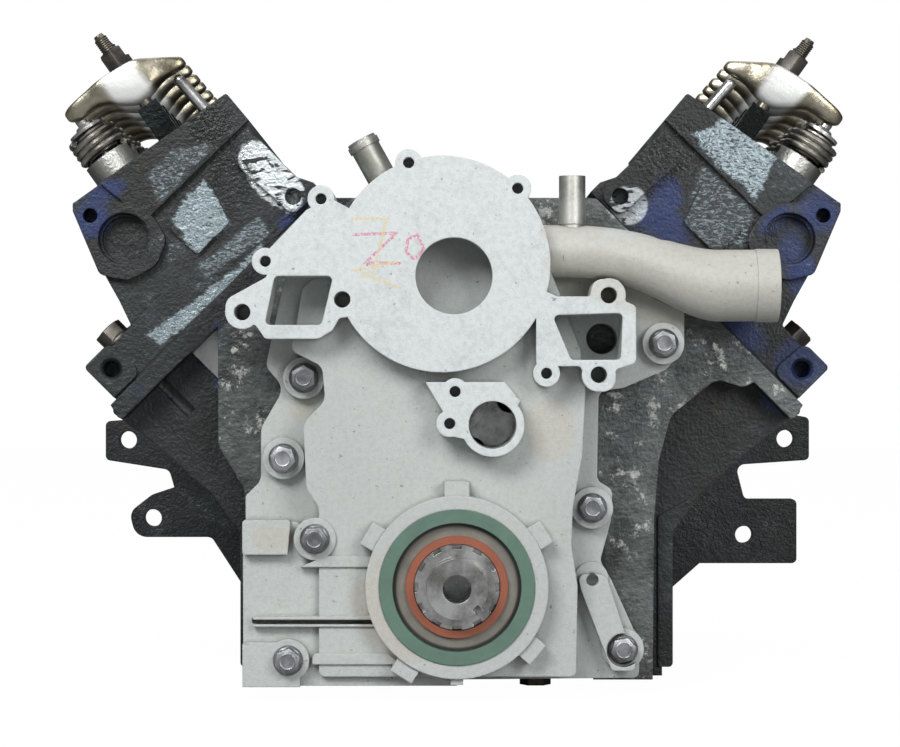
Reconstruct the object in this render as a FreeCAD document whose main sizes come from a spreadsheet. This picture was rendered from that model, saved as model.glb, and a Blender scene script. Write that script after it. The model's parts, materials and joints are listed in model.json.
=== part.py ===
import FreeCAD, Part
import math
import os

from FreeCAD import Placement, Rotation, Vector

# A ninety-degree pushrod V6 long block, in millimetres. X is to the right as seen from the front, Y runs
# rearwards along the crankshaft and Z is up. The origin is the centre of the crank nose face.
# Left and right are as seen from the front. A bank's own frame is turned about Y by half the V angle, so
# that its z runs up the cylinders and its x (times the side, 1 or -1) runs outwards.

document = FreeCAD.newDocument("VSixEngine")
sheet = document.addObject("Spreadsheet::Sheet", "Sizes")

SIZES = {
    "bank_angle": 45, "rail_tilt": 9.5,
    "block_front": 85, "block_length": 410, "deck_height": 242.2, "gasket_thickness": 1,
    "skirt_half_width": 137, "pan_rail_depth": 66, "skirt_wall": 13, "end_wall": 14, "bank_setback": 24,
    "front_mouth": 90,
    "bore_radius": 48.25, "bore_pitch": 107.7, "bank_stagger": 25, "first_bay": 165.85,
    "bore_foot": 86, "bay_radius": 98, "china_wall_height": 251,
    "throw": 43.2, "rod_length": 151.4, "piston_height": 47, "skirt_depth": 20, "piston_clearance": 0.05,
    "main_radius": 31.75, "shell_thickness": 2.5, "running_clearance": 0.03, "main_width": 26, "cap_bolt_offset": 52.5,
    "crankpin_radius": 28.6, "pin_half_span": 24, "rod_width": 20.6, "wrist_radius": 11.95,
    "eye_clearance": 0.95, "counterweight_radius": 74, "first_throw": -15, "split_angle": 30,
    "cam_height": 118, "cam_journal_radius": 22.68, "cam_bearing_wall": 3, "cam_core_radius": 13, "cam_journal_width": 13,
    "cam_base_radius": 15, "cam_nose_reach": 14.5, "cam_nose_radius": 6.5, "lobe_width": 14,
    "lifter_radius": 10.7, "lifter_length": 50, "lifter_start": 22.6,
    "head_length": 372, "head_front": 88, "rail_height": 349, "end_relief": 4.5, "valve_offset": 24,
    "stud_place": -14, "valve_place": 28.5, "pushrod_place": -41, "pivot_height": 392,
    "pushrod_top": 383.6, "pushrod_radius": 3.9, "stem_radius": 3.96, "intake_radius": 20,
    "exhaust_radius": 17.5, "valve_seat_height": 252.5, "valve_tip_height": 395, "spring_radius": 18,
    "spring_seat_height": 366, "retainer_height": 387, "stud_radius": 4.75, "stud_top": 436,
    "rocker_half_width": 11, "rocker_wall": 2.5, "ball_radius": 8.1, "fit_gap": 0.3,
    "bolt_radius": 5.5, "head_bolt_flats": 18, "cover_bolt_flats": 15, "outer_bolt_row": 48, "end_bolt_reach": 48,
    "inner_bolt_row": -70, "outer_bolt_seat": 270, "inner_bolt_seat": 324,
    "cover_gasket": 0.5, "case_front": 30, "flange_front": 60, "housing_front": 36, "plate_front": 10,
    "chain_cavity_depth": 28,
    "plate_radius": 68.4, "plate_x": -9.4, "plate_z": 204.5, "pump_opening": 24.3, "pump_cavity": 54,
    "seal_boss_radius": 58, "seal_boss_front": 15, "seal_case_radius": 49.3, "seal_case_inner": 40.8,
    "seal_lip_outer": 32.2, "seal_lip_inner": 27.6, "hub_radius": 27.2, "snout_radius": 19.3,
    "crank_bolt_radius": 9, "crank_flange_radius": 44, "crank_flange_thickness": 12,
    "flexplate_circle": 33, "flexplate_hole": 5.5, "chain_pitch": 9.525, "crank_teeth": 17,
    "chain_width": 10, "chain_thickness": 5, "sprocket_front": 64, "cam_front": 60,
    "outlet_wall": 3.5, "outlet_end": 205.5, "nipple_radius": 8.5, "nipple_spigot": 7.5, "nipple_foot": 231,
    "nipple_tip": 262, "sensor_radius": 15.1,
    "flange_thickness": 12,
}
for row, (name, value) in enumerate(SIZES.items(), start=1):
    cell = "B" + str(row)
    sheet.set("A" + str(row), name)
    sheet.set(cell, str(value))
    sheet.setAlias(cell, name)
document.recompute()


def size(name):
    return float(sheet.get(name))


LEFT = -1
RIGHT = 1
SIDES = {"left": LEFT, "right": RIGHT}
OVERCUT = 1
ROOT_TWO = math.sqrt(2)

block_rear = size("block_front") + size("block_length")
head_deck = size("deck_height") + size("gasket_thickness")
case_back = size("block_front") - size("cover_gasket")
bay_centres = [size("first_bay") + index * size("bore_pitch") for index in range(3)]
main_centres = [size("first_bay") + (index - 0.5) * size("bore_pitch") for index in range(4)]


def cylinder_centres(side):
    return [centre + side * size("bank_stagger") / 2 for centre in bay_centres]


def turned(degrees):
    return Placement(Vector(0, 0, 0), Rotation(Vector(0, 1, 0), degrees))


def bank(side):
    return turned(side * size("bank_angle"))


def rail(side):
    return turned(side * (size("bank_angle") - size("rail_tilt")))


STRAIGHT = turned(0)
ALONG_Y = Rotation(Vector(1, 0, 0), -90)
ALONG_Z = Rotation()
ALONG_X = Rotation(Vector(0, 1, 0), 90)


def bind(piece, name, value):
    """A number is set, and a string is an expression on the sheet."""
    if isinstance(value, str):
        piece.setExpression(name, value)
    else:
        setattr(piece, name, value)


def cylinder(name, place, radius, length, rotation=ALONG_Z, frame=STRAIGHT, angle=360):
    piece = document.addObject("Part::Cylinder", name)
    bind(piece, "Radius", radius)
    bind(piece, "Height", length)
    piece.Angle = angle
    piece.Placement = frame.multiply(Placement(Vector(*place), rotation))
    return piece


def box(name, low, high, frame=STRAIGHT):
    piece = document.addObject("Part::Box", name)
    piece.Length = high[0] - low[0]
    piece.Width = high[1] - low[1]
    piece.Height = high[2] - low[2]
    piece.Placement = frame.multiply(Placement(Vector(*low), Rotation()))
    return piece


def cone(name, place, low_radius, high_radius, length, rotation=ALONG_Z, frame=STRAIGHT):
    piece = document.addObject("Part::Cone", name)
    bind(piece, "Radius1", low_radius)
    bind(piece, "Radius2", high_radius)
    bind(piece, "Height", length)
    piece.Placement = frame.multiply(Placement(Vector(*place), rotation))
    return piece


def hexagon(name, place, flats, length, rotation=ALONG_Z, frame=STRAIGHT):
    piece = document.addObject("Part::Prism", name)
    piece.Polygon = 6
    piece.Circumradius = flats / math.sqrt(3)
    piece.Height = length
    piece.Placement = frame.multiply(Placement(Vector(*place), rotation))
    return piece


def join(name, pieces):
    made = document.addObject("Part::MultiFuse", name)
    made.Shapes = pieces
    made.Refine = True
    return made


def group(name, pieces):
    made = document.addObject("Part::Compound", name)
    made.Links = pieces
    return made


def cut(name, base, tools):
    made = document.addObject("Part::Cut", name)
    made.Base = base
    made.Tool = tools[0] if len(tools) == 1 else join(name + "_tools", tools)
    made.Refine = True
    return made


def origin_plane(body, role):
    return next(feature for feature in body.Origin.OriginFeatures if feature.Role == role)


def edge_loop(corners):
    """The lines and tangent arcs through corners given as (x, z) or (x, z, radius)."""
    edges = []
    starts = []
    ends = []
    arcs = []
    count = len(corners)
    for index, corner in enumerate(corners):
        here = Vector(corner[0], corner[1], 0)
        before = Vector(*corners[index - 1][:2], 0)
        after = Vector(*corners[(index + 1) % count][:2], 0)
        radius = corner[2] if len(corner) == 3 else 0
        back = (before - here).normalize()
        ahead = (after - here).normalize()
        if radius:
            half = back.getAngle(ahead) / 2
            reach = radius / math.tan(half)
            centre = here + (back + ahead).normalize() * (radius / math.sin(half))
            middle = centre + (here - centre).normalize() * radius
            arcs.append(Part.Arc(here + back * reach, middle, here + ahead * reach))
            starts.append(here + back * reach)
            ends.append(here + ahead * reach)
        else:
            arcs.append(None)
            starts.append(here)
            ends.append(here)
    for index in range(count):
        following = (index + 1) % count
        if (starts[following] - ends[index]).Length > 1e-6:
            edges.append(Part.LineSegment(ends[index], starts[following]))
        if arcs[following]:
            edges.append(arcs[following])
    return edges


def padded(name, edges, low, length, frame=STRAIGHT):
    """A body whose sketch in the XZ plane is padded rearwards from y = low."""
    body = document.addObject("PartDesign::Body", name)
    sketch = body.newObject("Sketcher::SketchObject", name + "_outline")
    sketch.AttachmentSupport = [(origin_plane(body, "XZ_Plane"), "")]
    sketch.MapMode = "FlatFace"
    sketch.addGeometry(edges, False)
    pad = body.newObject("PartDesign::Pad", name + "_pad")
    pad.Profile = sketch
    bind(pad, "Length", length)
    pad.Reversed = True
    body.Tip = pad
    body.Placement = frame.multiply(Placement(Vector(0, low, 0), Rotation()))
    return body


def plate(name, corners, low, length, frame=STRAIGHT):
    return padded(name, edge_loop(corners), low, length, frame)


def mirrored(corners, side):
    return [(side * corner[0],) + tuple(corner[1:]) for corner in corners]


def both_sides(half):
    """A closed outline from its right half, which runs from the bottom up."""
    return list(half) + [(-corner[0],) + tuple(corner[1:]) for corner in reversed(half)]


def bank_point(height, outward):
    """World (x, z) of a point of the right bank."""
    return ((height + outward) / ROOT_TWO, (height - outward) / ROOT_TWO)


# Valve gear line: from the cam axis to the rocker's pushrod end

rail_radians = math.radians(size("bank_angle") - size("rail_tilt"))
pushrod_end_x = size("pushrod_top") * math.sin(rail_radians) + size("pushrod_place") * math.cos(rail_radians)
pushrod_end_z = size("pushrod_top") * math.cos(rail_radians) - size("pushrod_place") * math.sin(rail_radians)
pushrod_reach = math.hypot(pushrod_end_x, pushrod_end_z - size("cam_height"))
lifter_angle = math.degrees(math.atan2(pushrod_end_x, pushrod_end_z - size("cam_height")))


def lifter_line(side):
    """A frame whose z runs from the cam axis to the rocker's pushrod end."""
    return Placement(Vector(0, 0, size("cam_height")), Rotation(Vector(0, 1, 0), side * lifter_angle))


def valve_stations(side, kind):
    step = -size("valve_offset") if kind == "exhaust" else size("valve_offset")
    return [centre + step for centre in cylinder_centres(side)]


def all_valve_stations(side):
    return sorted(valve_stations(side, "intake") + valve_stations(side, "exhaust"))


def head_bolt_stations(side):
    """Between the bores, and a little nearer to the end bores at each end of the head."""
    centres = cylinder_centres(side)
    between = [centre + size("bore_pitch") / 2 for centre in centres[:-1]]
    return [centres[0] - size("end_bolt_reach")] + between + [centres[-1] + size("end_bolt_reach")]


def block_half():
    """Right half of the block's section, from the pan rail up to the middle of the valley."""
    deck_outer = bank_point(size("deck_height"), 80)
    skirt = size("skirt_half_width")
    return [(skirt, -size("pan_rail_depth")), (skirt, 32, 10), (201.6, 89), (229.5, 109.4, 3), deck_outer]


def engine_block():
    front = size("block_front")
    deck = size("deck_height")
    valley_edge = bank_point(deck, -78)
    boss_outer = (56.1, 166.4)
    boss_inner = (34.3, 182.8)
    section = block_half() + [valley_edge, boss_outer, boss_inner, (20, 165)]
    setback = size("bank_setback")
    middle = plate("block_middle", both_sides(section), front + setback, size("block_length") - setback)
    wall_top = size("china_wall_height")
    wall_section = block_half() + [bank_point(deck, -112), (86, wall_top)]
    walls = [plate("block_front_plate", front_plate_outline(), front, "Sizes.bank_setback"),
             plate("block_front_wall", both_sides(wall_section), front + setback, "Sizes.end_wall"),
             plate("block_rear_wall", both_sides(wall_section), block_rear - size("end_wall"), "Sizes.end_wall")]
    for side_name, side in SIDES.items():
        deck_lip = [(-112, deck), (80, deck), (83, deck - 12, 3), (40, deck - 12, 6), (-112, deck - 16)]
        walls.append(plate(side_name + "_deck_lip", mirrored(deck_lip, side), front, "Sizes.bank_setback", bank(side)))
    pieces = [middle] + walls + [bell_flange()] + block_ribs()
    tools = [cylinder("main_bore", (0, front - OVERCUT, 0), "Sizes.main_radius + Sizes.shell_thickness",
                      "Sizes.block_length + 2", ALONG_Y)]
    tools.append(cylinder("cam_bore", (0, front - OVERCUT, size("cam_height")),
                          "Sizes.cam_journal_radius + Sizes.running_clearance + Sizes.cam_bearing_wall",
                          "Sizes.block_length - Sizes.end_wall", ALONG_Y))
    inner = size("skirt_half_width") - size("skirt_wall")
    depth = -size("pan_rail_depth") - OVERCUT
    wall_rear = front + setback + size("end_wall")
    mouth = size("front_mouth")
    tools.append(box("cap_space_mouth", (-mouth, front - OVERCUT, depth), (mouth, wall_rear + 5, 2)))
    tools.append(box("cap_space", (-inner, wall_rear, depth), (inner, block_rear - size("end_wall"), 0)))
    for index in range(3):
        bay_front = main_centres[index] + size("main_width") / 2
        bay_rear = main_centres[index + 1] - size("main_width") / 2
        tools.append(cylinder("bay_arch_%d" % (index + 1), (0, bay_front, 0), "Sizes.bay_radius",
                              bay_rear - bay_front, ALONG_Y))
        tools.append(box("bay_side_%d" % (index + 1), (-inner, bay_front, -OVERCUT), (inner, bay_rear, 34)))
    tools += bell_holes()
    seal_front = main_centres[3] + size("main_width") / 2
    tools.append(cylinder("rear_seal_bore", (0, seal_front + 20, 0), 52, block_rear - seal_front, ALONG_Y))
    for side_name, side in SIDES.items():
        for index, centre in enumerate(cylinder_centres(side)):
            tools.append(cylinder("%s_bore_%d" % (side_name, index + 1), (0, centre, size("bore_foot")),
                                  "Sizes.bore_radius", deck - size("bore_foot") + OVERCUT, frame=bank(side)))
        for index, station in enumerate(all_valve_stations(side)):
            tools.append(cylinder("%s_lifter_bore_%d" % (side_name, index + 1), (0, station, 20),
                                  "Sizes.lifter_radius + Sizes.running_clearance", 72, frame=lifter_line(side)))
        for index, (station, row, seat) in enumerate(head_bolt_places(side)):
            tools.append(cylinder("%s_bolt_hole_%d" % (side_name, index + 1), (side * row, station, deck - 40),
                                  "Sizes.bolt_radius", 50, frame=bank(side)))
        for index, centre in enumerate(bay_centres):
            tools.append(cylinder("%s_side_plug_hole_%d" % (side_name, index + 1), plug_place(side, centre),
                                  20, 12, ALONG_X if side == RIGHT else ALONG_X.inverted(), bank(side)))
    return cut("engine_block", join("block_solid", pieces), tools)


def front_plate_outline():
    """The machined face round the front cover, with the arches below each bank."""
    wall_top = size("china_wall_height")
    skirt = size("skirt_half_width")
    right = [(skirt - 8, -size("pan_rail_depth")), (130, 40), (133, 78, 12), (141, 108, 14), (170.8, 131.5, 10),
             (188.4, 126.3, 8), (206, 134.4), bank_point(size("deck_height"), 60),
             bank_point(size("deck_height"), -112), (86, wall_top)]
    left = [(-86, wall_top), (-157, 171, 4), (-157, 88, 14), (-140, 60, 12), (-skirt, 20),
            (-skirt, -size("pan_rail_depth"))]
    return right + left


def plug_place(side, centre):
    return (side * 70, centre, 178)


def block_ribs():
    """Stiffening ribs on the skirt, and the water jacket's walls on the outside of each bank."""
    pieces = []
    for side_name, side in SIDES.items():
        for index, station in enumerate(main_centres):
            rib = [(134, -60), (144, -60, 3), (144, 30), (165, 58), (134, 40)]
            pieces.append(plate("%s_skirt_rib_%d" % (side_name, index + 1), mirrored(rib, side), station - 5, 10))
    return pieces


def bell_flange():
    """The flange for the gearbox housing, with its two lower ears and two upper arms."""
    outline = [(137, -66), (170, -40, 10), (196, -17), (274, -17, 4), (274, 34.5, 4), (232, 34.5, 5),
               (225, 62, 6), (284, 66, 4), (284, 100, 4), (240, 108), (228, 116), (86, 251), (-86, 251), (-228, 116),
               (-238, 100), (-281, 97, 4), (-281, 66, 4), (-230, 58, 6), (-226, 44), (-244, 38, 8), (-262, 24, 10),
               (-257, 4, 12), (-196, 4, 6), (-170, -36, 10), (-137, -66)]
    return plate("bell_flange", outline, block_rear - size("flange_thickness"), "Sizes.flange_thickness")


def bell_holes():
    """Clear holes in the ears and arms, and blind ones in the banks' rear wall."""
    places = [(231.7, 5.9), (-243, 19.3), (265, 83), (-263, 82), (120, 200), (-120, 200)]
    return [cylinder("bell_hole_%d" % (index + 1), (across, block_rear - 20, up), 7, 30, ALONG_Y)
            for index, (across, up) in enumerate(places)]


def head_bolt_places(side):
    """Each head bolt's station, row and seat height in the bank's frame."""
    places = []
    for station in head_bolt_stations(side):
        places.append((station, size("outer_bolt_row"), size("outer_bolt_seat")))
        places.append((station, size("inner_bolt_row"), size("inner_bolt_seat")))
    return places


def main_caps():
    caps = []
    for index, station in enumerate(main_centres):
        half = size("main_width") / 2
        section = [(-66, 0), (66, 0), (66, -40, 6), (50, -62, 4), (-50, -62, 4), (-66, -40, 6)]
        solid = plate("cap_solid_%d" % (index + 1), section, station - half, "Sizes.main_width")
        bore = cylinder("cap_bore_%d" % (index + 1), (0, station - half - OVERCUT, 0),
                        "Sizes.main_radius + Sizes.shell_thickness", "Sizes.main_width + 2", ALONG_Y)
        holes = [cylinder("cap_hole_%d_%s" % (index + 1, name), (side * size("cap_bolt_offset"), station, -70),
                          "Sizes.bolt_radius", 80) for name, side in SIDES.items()]
        caps.append(cut("cap_%d" % (index + 1), solid, [bore] + holes))
    return group("main_caps", caps)


def main_cap_bolts():
    bolts = []
    for index, station in enumerate(main_centres):
        for name, side in SIDES.items():
            place = (side * size("cap_bolt_offset"), station)
            head = hexagon("cap_bolt_head_%d_%s" % (index + 1, name), place + (-72,), 18, 10)
            shank = cylinder("cap_bolt_shank_%d_%s" % (index + 1, name), place + (-62,), "Sizes.bolt_radius", 62)
            bolts.append(join("cap_bolt_%d_%s" % (index + 1, name), [head, shank]))
    return group("main_cap_bolts", bolts)


def ring(name, place, inner, outer, length, rotation=ALONG_Y, frame=STRAIGHT):
    outside = cylinder(name + "_outside", place, outer, length, rotation, frame)
    inside = cylinder(name + "_inside", place, inner, length, rotation, frame)
    return cut(name, outside, [inside])


def main_bearing_shells():
    rings = [ring("shell_%d" % (index + 1), (0, station - size("main_width") / 2 + 1.5, 0),
                  "Sizes.main_radius + Sizes.running_clearance", "Sizes.main_radius + Sizes.shell_thickness",
                  size("main_width") - 3) for index, station in enumerate(main_centres)]
    return group("main_bearing_shells", rings)


def cam_bearings():
    inner = "Sizes.cam_journal_radius + Sizes.running_clearance"
    rings = [ring("cam_ring_%d" % (index + 1), (0, station - size("cam_journal_width") / 2, size("cam_height")), inner,
                  inner + " + Sizes.cam_bearing_wall", "Sizes.cam_journal_width") for index, station in enumerate(main_centres)]
    return group("cam_bearings", rings)


def core_plugs():
    """Pressed cups in the block's sides and in the front ends of the heads."""
    plugs = []
    for side_name, side in SIDES.items():
        for index, centre in enumerate(bay_centres):
            rotation = ALONG_X if side == RIGHT else ALONG_X.inverted()
            place = plug_place(side, centre)
            disc = cylinder("%s_side_plug_solid_%d" % (side_name, index + 1), place, 20, 8, rotation, bank(side))
            dish = cylinder("%s_side_plug_dish_%d" % (side_name, index + 1),
                            (place[0] + side * 3, place[1], place[2]), 17.5, 8, rotation, bank(side))
            plugs.append(cut("%s_side_plug_%d" % (side_name, index + 1), disc, [dish]))
        place = head_plug_place(side)
        disc = cylinder("%s_head_plug_solid" % side_name, place, 17.1, 8, ALONG_Y, bank(side))
        dish = cylinder("%s_head_plug_dish" % side_name, (place[0], place[1] - 3, place[2]), 15, 9, ALONG_Y, bank(side))
        plugs.append(cut("%s_head_plug" % side_name, disc, [dish]))
    return group("core_plugs", plugs)


def head_plug_place(side):
    return (side * -3.5, size("head_front") + 5, 313.4)


def rail_corner(outward):
    """The (outward, height) point of the cover rail in the bank's frame."""
    tilt = math.radians(size("rail_tilt"))
    return (outward, (size("rail_height") + outward * math.sin(tilt)) / math.cos(tilt))


def head_outline(side):
    """The head's end view in the bank's frame: deck, bolt flange, outer wall, cover rail and valley wall."""
    corners = [(-118, head_deck), (75, head_deck), (75, 268, 3), (34, 270, 3), (28, 287, 5), (21, 312, 6),
               rail_corner(3.3) + (2,), rail_corner(-119) + (2,), (-117, 311), (-112, 306, 3), (-113, 262, 3), (-118, 252)]
    return mirrored(corners, side)


def cylinder_head(side_name):
    side = SIDES[side_name]
    frame = bank(side)
    front = size("head_front")
    length = size("head_length")
    relief = size("end_relief")
    solid = plate(side_name + "_head_solid", head_outline(side), front + relief, length - 2 * relief, frame)
    pieces = [solid] + end_reliefs(side_name, frame, front, length)
    tools = []
    ear_place = (side * -102, front, 254.4)
    tools.append(cylinder(side_name + "_ear_hole", (ear_place[0], front - 10, ear_place[2]), 5.5, 30, ALONG_Y, frame))
    tools.append(cone(side_name + "_ear_chamfer", ear_place, 7.5, 5.5, 2, ALONG_Y, frame))
    tools.append(cylinder(side_name + "_foot_hole", (side * 63, front - 10, 258.5), 5.5, 26, ALONG_Y, frame))
    tools.append(cone(side_name + "_foot_chamfer", (side * 63, front - 3, 258.5), 7.5, 5.5, 2, ALONG_Y, frame))
    tools.append(cylinder(side_name + "_rail_hole", (side * 1.4, front - 10, 340), 4.8, 24, ALONG_Y, frame))
    tools.append(cylinder(side_name + "_plug_bore", (side * -3.5, front - 10, 313.4), 17.1, 23, ALONG_Y, frame))
    for kind in ("intake", "exhaust"):
        for index, station in enumerate(valve_stations(side, kind)):
            name = "%s_%s_%d" % (side_name, kind, index + 1)
            boss_place = (side * size("valve_place"), station, size("rail_height") - 12)
            boss_height = size("spring_seat_height") - boss_place[2]
            pieces.append(cylinder(name + "_seat_boss", boss_place, 16.5, boss_height, frame=rail(side)))
            tools.append(cylinder(name + "_guide", (boss_place[0], station, 250),
                                  "Sizes.stem_radius + Sizes.running_clearance", 125, frame=rail(side)))
            bowl = (boss_place[0], station, size("valve_seat_height") - 10)
            tools.append(cylinder(name + "_bowl", bowl, "Sizes.%s_radius + 0.8" % kind, 24, frame=rail(side)))
            tools.append(port(name, side, kind, station))
            place = (0, station, 60)
            tools.append(cylinder(name + "_pushrod_hole", place, 8.5, 300, frame=lifter_line(side)))
    for index, centre in enumerate(cylinder_centres(side)):
        tools.append(cylinder("%s_chamber_%d" % (side_name, index + 1), (side * -8, centre, head_deck - 5),
                              38, 14, frame=frame))
    for index, (station, row, seat) in enumerate(head_bolt_places(side)):
        name = "%s_head_bolt_way_%d" % (side_name, index + 1)
        tools.append(cylinder(name, (side * row, station, head_deck - OVERCUT), "Sizes.bolt_radius + Sizes.fit_gap",
                              150, frame=frame))
        tools.append(cylinder(name + "_seat", (side * row, station, seat), 11.5, 60, frame=frame))
    return cut(side_name + "_head", join(side_name + "_head_casting", pieces), tools)


def end_reliefs(side_name, frame, front, length):
    """Raised pads on a head's end faces: deck bar, foot, core plug boss, rail panel, machined pad and ear."""
    side = SIDES[side_name]
    relief = size("end_relief")
    pads = {
        "deck_bar": ([(75, head_deck), (75, 268, 3), (33, 270, 3), (-28, 270, 3), (-72, 262, 4), (-76, head_deck)], 0),
        "foot": ([(75, 244), (75, 272, 3), (52, 272, 6), (50, 244, 6)], 3),
        "plug_boss": ([(7.5, 350, 3), rail_corner(3.3) + (2,), (-12, 341, 8), (-24, 325, 8), (-27.5, 309, 12),
                       (-23, 293, 10), (-6, 286, 14), (14, 292, 14), (24.5, 308, 6)], 2),
        "rail_panel": ([(-22, 312), rail_corner(-18), rail_corner(-119) + (2,), (-117, 311)], 0),
        "machined_pad": ([(-29, 297, 3), (-71, 303, 3), (-60, 272, 3), (-30, 272, 3)], -1),
        "ear": ([(-90, 300, 4), (-92, 268, 8), (-93, head_deck + 2, 6), (-112, head_deck + 2, 6), (-113, 300, 3)], 2),
    }
    made = []
    for label, (corners, proud) in pads.items():
        outline = mirrored(corners, side)
        made.append(plate("%s_front_%s" % (side_name, label), outline, front - proud, relief + proud + 2, frame))
        if label != "machined_pad":
            made.append(plate("%s_rear_%s" % (side_name, label), outline, front + length - relief - 2, relief + 2,
                              frame))
    return made


def port(name, side, kind, station):
    """A gas port's mouth: oblong on the valley side for intake, round on the outside for exhaust."""
    if kind == "intake":
        centre = station - size("valve_offset")
        low = min(side * -130, side * -96)
        return box(name + "_port", (low, centre - 14, 268), (low + 34, centre + 14, 300), bank(side))
    rotation = ALONG_X if side == RIGHT else ALONG_X.inverted()
    return cylinder(name + "_port", (side * 14, station, 296), 15, 30, rotation, bank(side))


def head_gasket(side_name):
    side = SIDES[side_name]
    corners = mirrored([(-76, size("deck_height")), (75, size("deck_height")), (75, head_deck), (-76, head_deck)], side)
    sheet_solid = plate(side_name + "_gasket_solid", corners, size("head_front"), "Sizes.head_length", bank(side))
    tools = []
    for index, centre in enumerate(cylinder_centres(side)):
        tools.append(cylinder("%s_fire_ring_%d" % (side_name, index + 1), (0, centre, 230), "Sizes.bore_radius + 1",
                              20, frame=bank(side)))
    for index, (station, row, seat) in enumerate(head_bolt_places(side)):
        tools.append(cylinder("%s_gasket_hole_%d" % (side_name, index + 1), (side * row, station, 230),
                              "Sizes.bolt_radius + Sizes.fit_gap", 20, frame=bank(side)))
    return cut(side_name + "_head_gasket", sheet_solid, tools)


def head_bolts():
    bolts = []
    for side_name, side in SIDES.items():
        for index, (station, row, seat) in enumerate(head_bolt_places(side)):
            name = "%s_head_bolt_%d" % (side_name, index + 1)
            washer = cylinder(name + "_flange", (side * row, station, seat), 11, 2.5, frame=bank(side))
            head = hexagon(name + "_hex", (side * row, station, seat), size("head_bolt_flats"), 11, frame=bank(side))
            foot = size("deck_height") - 40
            shank = cylinder(name + "_shank", (side * row, station, foot), "Sizes.bolt_radius", seat - foot,
                             frame=bank(side))
            bolts.append(join(name, [washer, head, shank]))
    return group("head_bolts", bolts)


# Front cover

SMALL_COVER_HOLES = [(-30.5, 268.4), (38.3, 252.2), (-85.8, 245.6), (-120.9, 206.2), (56.5, 135.5),
                     (-1.2, 124), (-4.6, 103.8)]
LARGE_COVER_HOLES = [(-135.5, 174.1), (-72.4, 182.1), (95.8, 184.8), (89.5, 134.6)]
COVER_BOLTS = [(-98.8, 132.5), (-112, 80.6), (-90.5, 29.9), (-107.6, -47.4), (133.5, 154.8), (87.5, 48.6),
               (107.4, -42.7)]
DOWEL = (87.3, 2.4)
SENSOR = (22.5, 102.9)
LUG_ANGLES = [90, 32, -40, -122, 149]


def flange_outline():
    """The flange that seats on the block, round all seven bolts."""
    return [(-136.7, -64.5), (118, -62, 4), (119, -40, 8), (100, 2, 12), (93, 14, 6), (100, 40, 6), (101, 60, 6),
            (91, 66, 6), (92, 124, 6), (108, 126, 8), (136, 138, 10), (147.6, 152, 6), (147.6, 175), (128, 184),
            (110, 198), (60, 205), (-60, 240), (-110, 205), (-124, 140, 8), (-112, 126, 10), (-127, 100, 12),
            (-127, 66, 10), (-137, 56, 3)]


def dome_outline():
    """The chain case that stands proud of the flange."""
    return [(-88, -58, 4), (76, -58, 4), (77, 0, 8), (73, 26, 16), (74, 50, 16), (80, 84, 14), (82, 124, 6),
            (80, 150, 6), (60, 200), (-60, 225), (-100, 190), (-106, 150, 6), (-86, 140, 8), (-84, 118, 10),
            (-98, 104, 10), (-96, 62, 12), (-88, 50, 10)]


def pump_housing_outline():
    """The oil pump's side of the case, at the lower left of the crank."""
    return [(-136.7, -64.5), (0, -64.5), (0, 14), (-78, 14, 4), (-98, 20, 6), (-100, 30, 3), (-100, 40, 4),
            (-137, 42, 3)]


def pump_face_pieces(front):
    depth = size("case_front") - front + 20
    pieces = [cylinder("pump_disc", (size("plate_x"), front, size("plate_z")), "Sizes.plate_radius", depth, ALONG_Y)]
    left_tab = [(-121, 157.3, 3), (-87.5, 157.3, 4), (-78.6, 162.6, 4), (-74.2, 170.6, 4), (-60, 172), (-50, 230),
                (-80, 246), (-95, 238.5), (-129, 203, 6), (-115, 199, 3), (-146, 182, 8), (-146, 168, 8),
                (-127, 166, 4)]
    right_tab = [(50, 140, 3), (78, 140, 3), (84, 124, 8), (100, 124, 8), (100, 138, 3), (113, 142, 4),
                 (113, 178, 4), (106, 181, 3), (104, 195, 7), (86, 195, 7), (84, 184, 2), (63, 184, 3), (50, 190)]
    pieces.append(plate("left_tab", left_tab, front, depth))
    pieces.append(plate("right_tab", right_tab, front, depth))
    for index, (across, up) in enumerate(SMALL_COVER_HOLES):
        pieces.append(cylinder("small_boss_%d" % (index + 1), (across, front, up), 8.5, depth, ALONG_Y))
    for index, (across, up) in enumerate(LARGE_COVER_HOLES):
        pieces.append(cylinder("large_boss_%d" % (index + 1), (across, front, up), 10.7, depth, ALONG_Y))
    pieces.append(cylinder("sensor_boss", (SENSOR[0], front, SENSOR[1]), "Sizes.sensor_radius + 5", depth, ALONG_Y))
    web = [(-20, 130), (30, 130), (40, 118), (22, 90), (-4, 96), (-8, 110)]
    pieces.append(plate("sensor_web", web, front, depth))
    return pieces


OUTLET_HEIGHT = 191.8


def hose_outlet(inset, name):
    """The cast hose neck: round stations along its axis, narrowed where it leaves the pump face."""
    straight = size("outlet_end") - 40
    stations = [(50, 214, 17), (92, 212.5, 17), (124, 204.5, 19.4), (148, 195.5, 22), (straight, OUTLET_HEIGHT, 23)]
    circles = []
    for index, (across, up, radius) in enumerate(stations):
        circle = document.addObject("Part::Circle", "%s_station_%d" % (name, index + 1))
        circle.Radius = radius - inset
        circle.Placement = Placement(Vector(across, 40, up), ALONG_X)
        circles.append(circle)
    loft = document.addObject("Part::Loft", name)
    loft.Sections = circles
    loft.Solid = True
    mouth = cylinder(name + "_mouth", (straight, 40, OUTLET_HEIGHT), 23 - inset, 40 + OVERCUT * min(inset, 1), ALONG_X)
    return join(name + "_neck", [loft, mouth])


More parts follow.
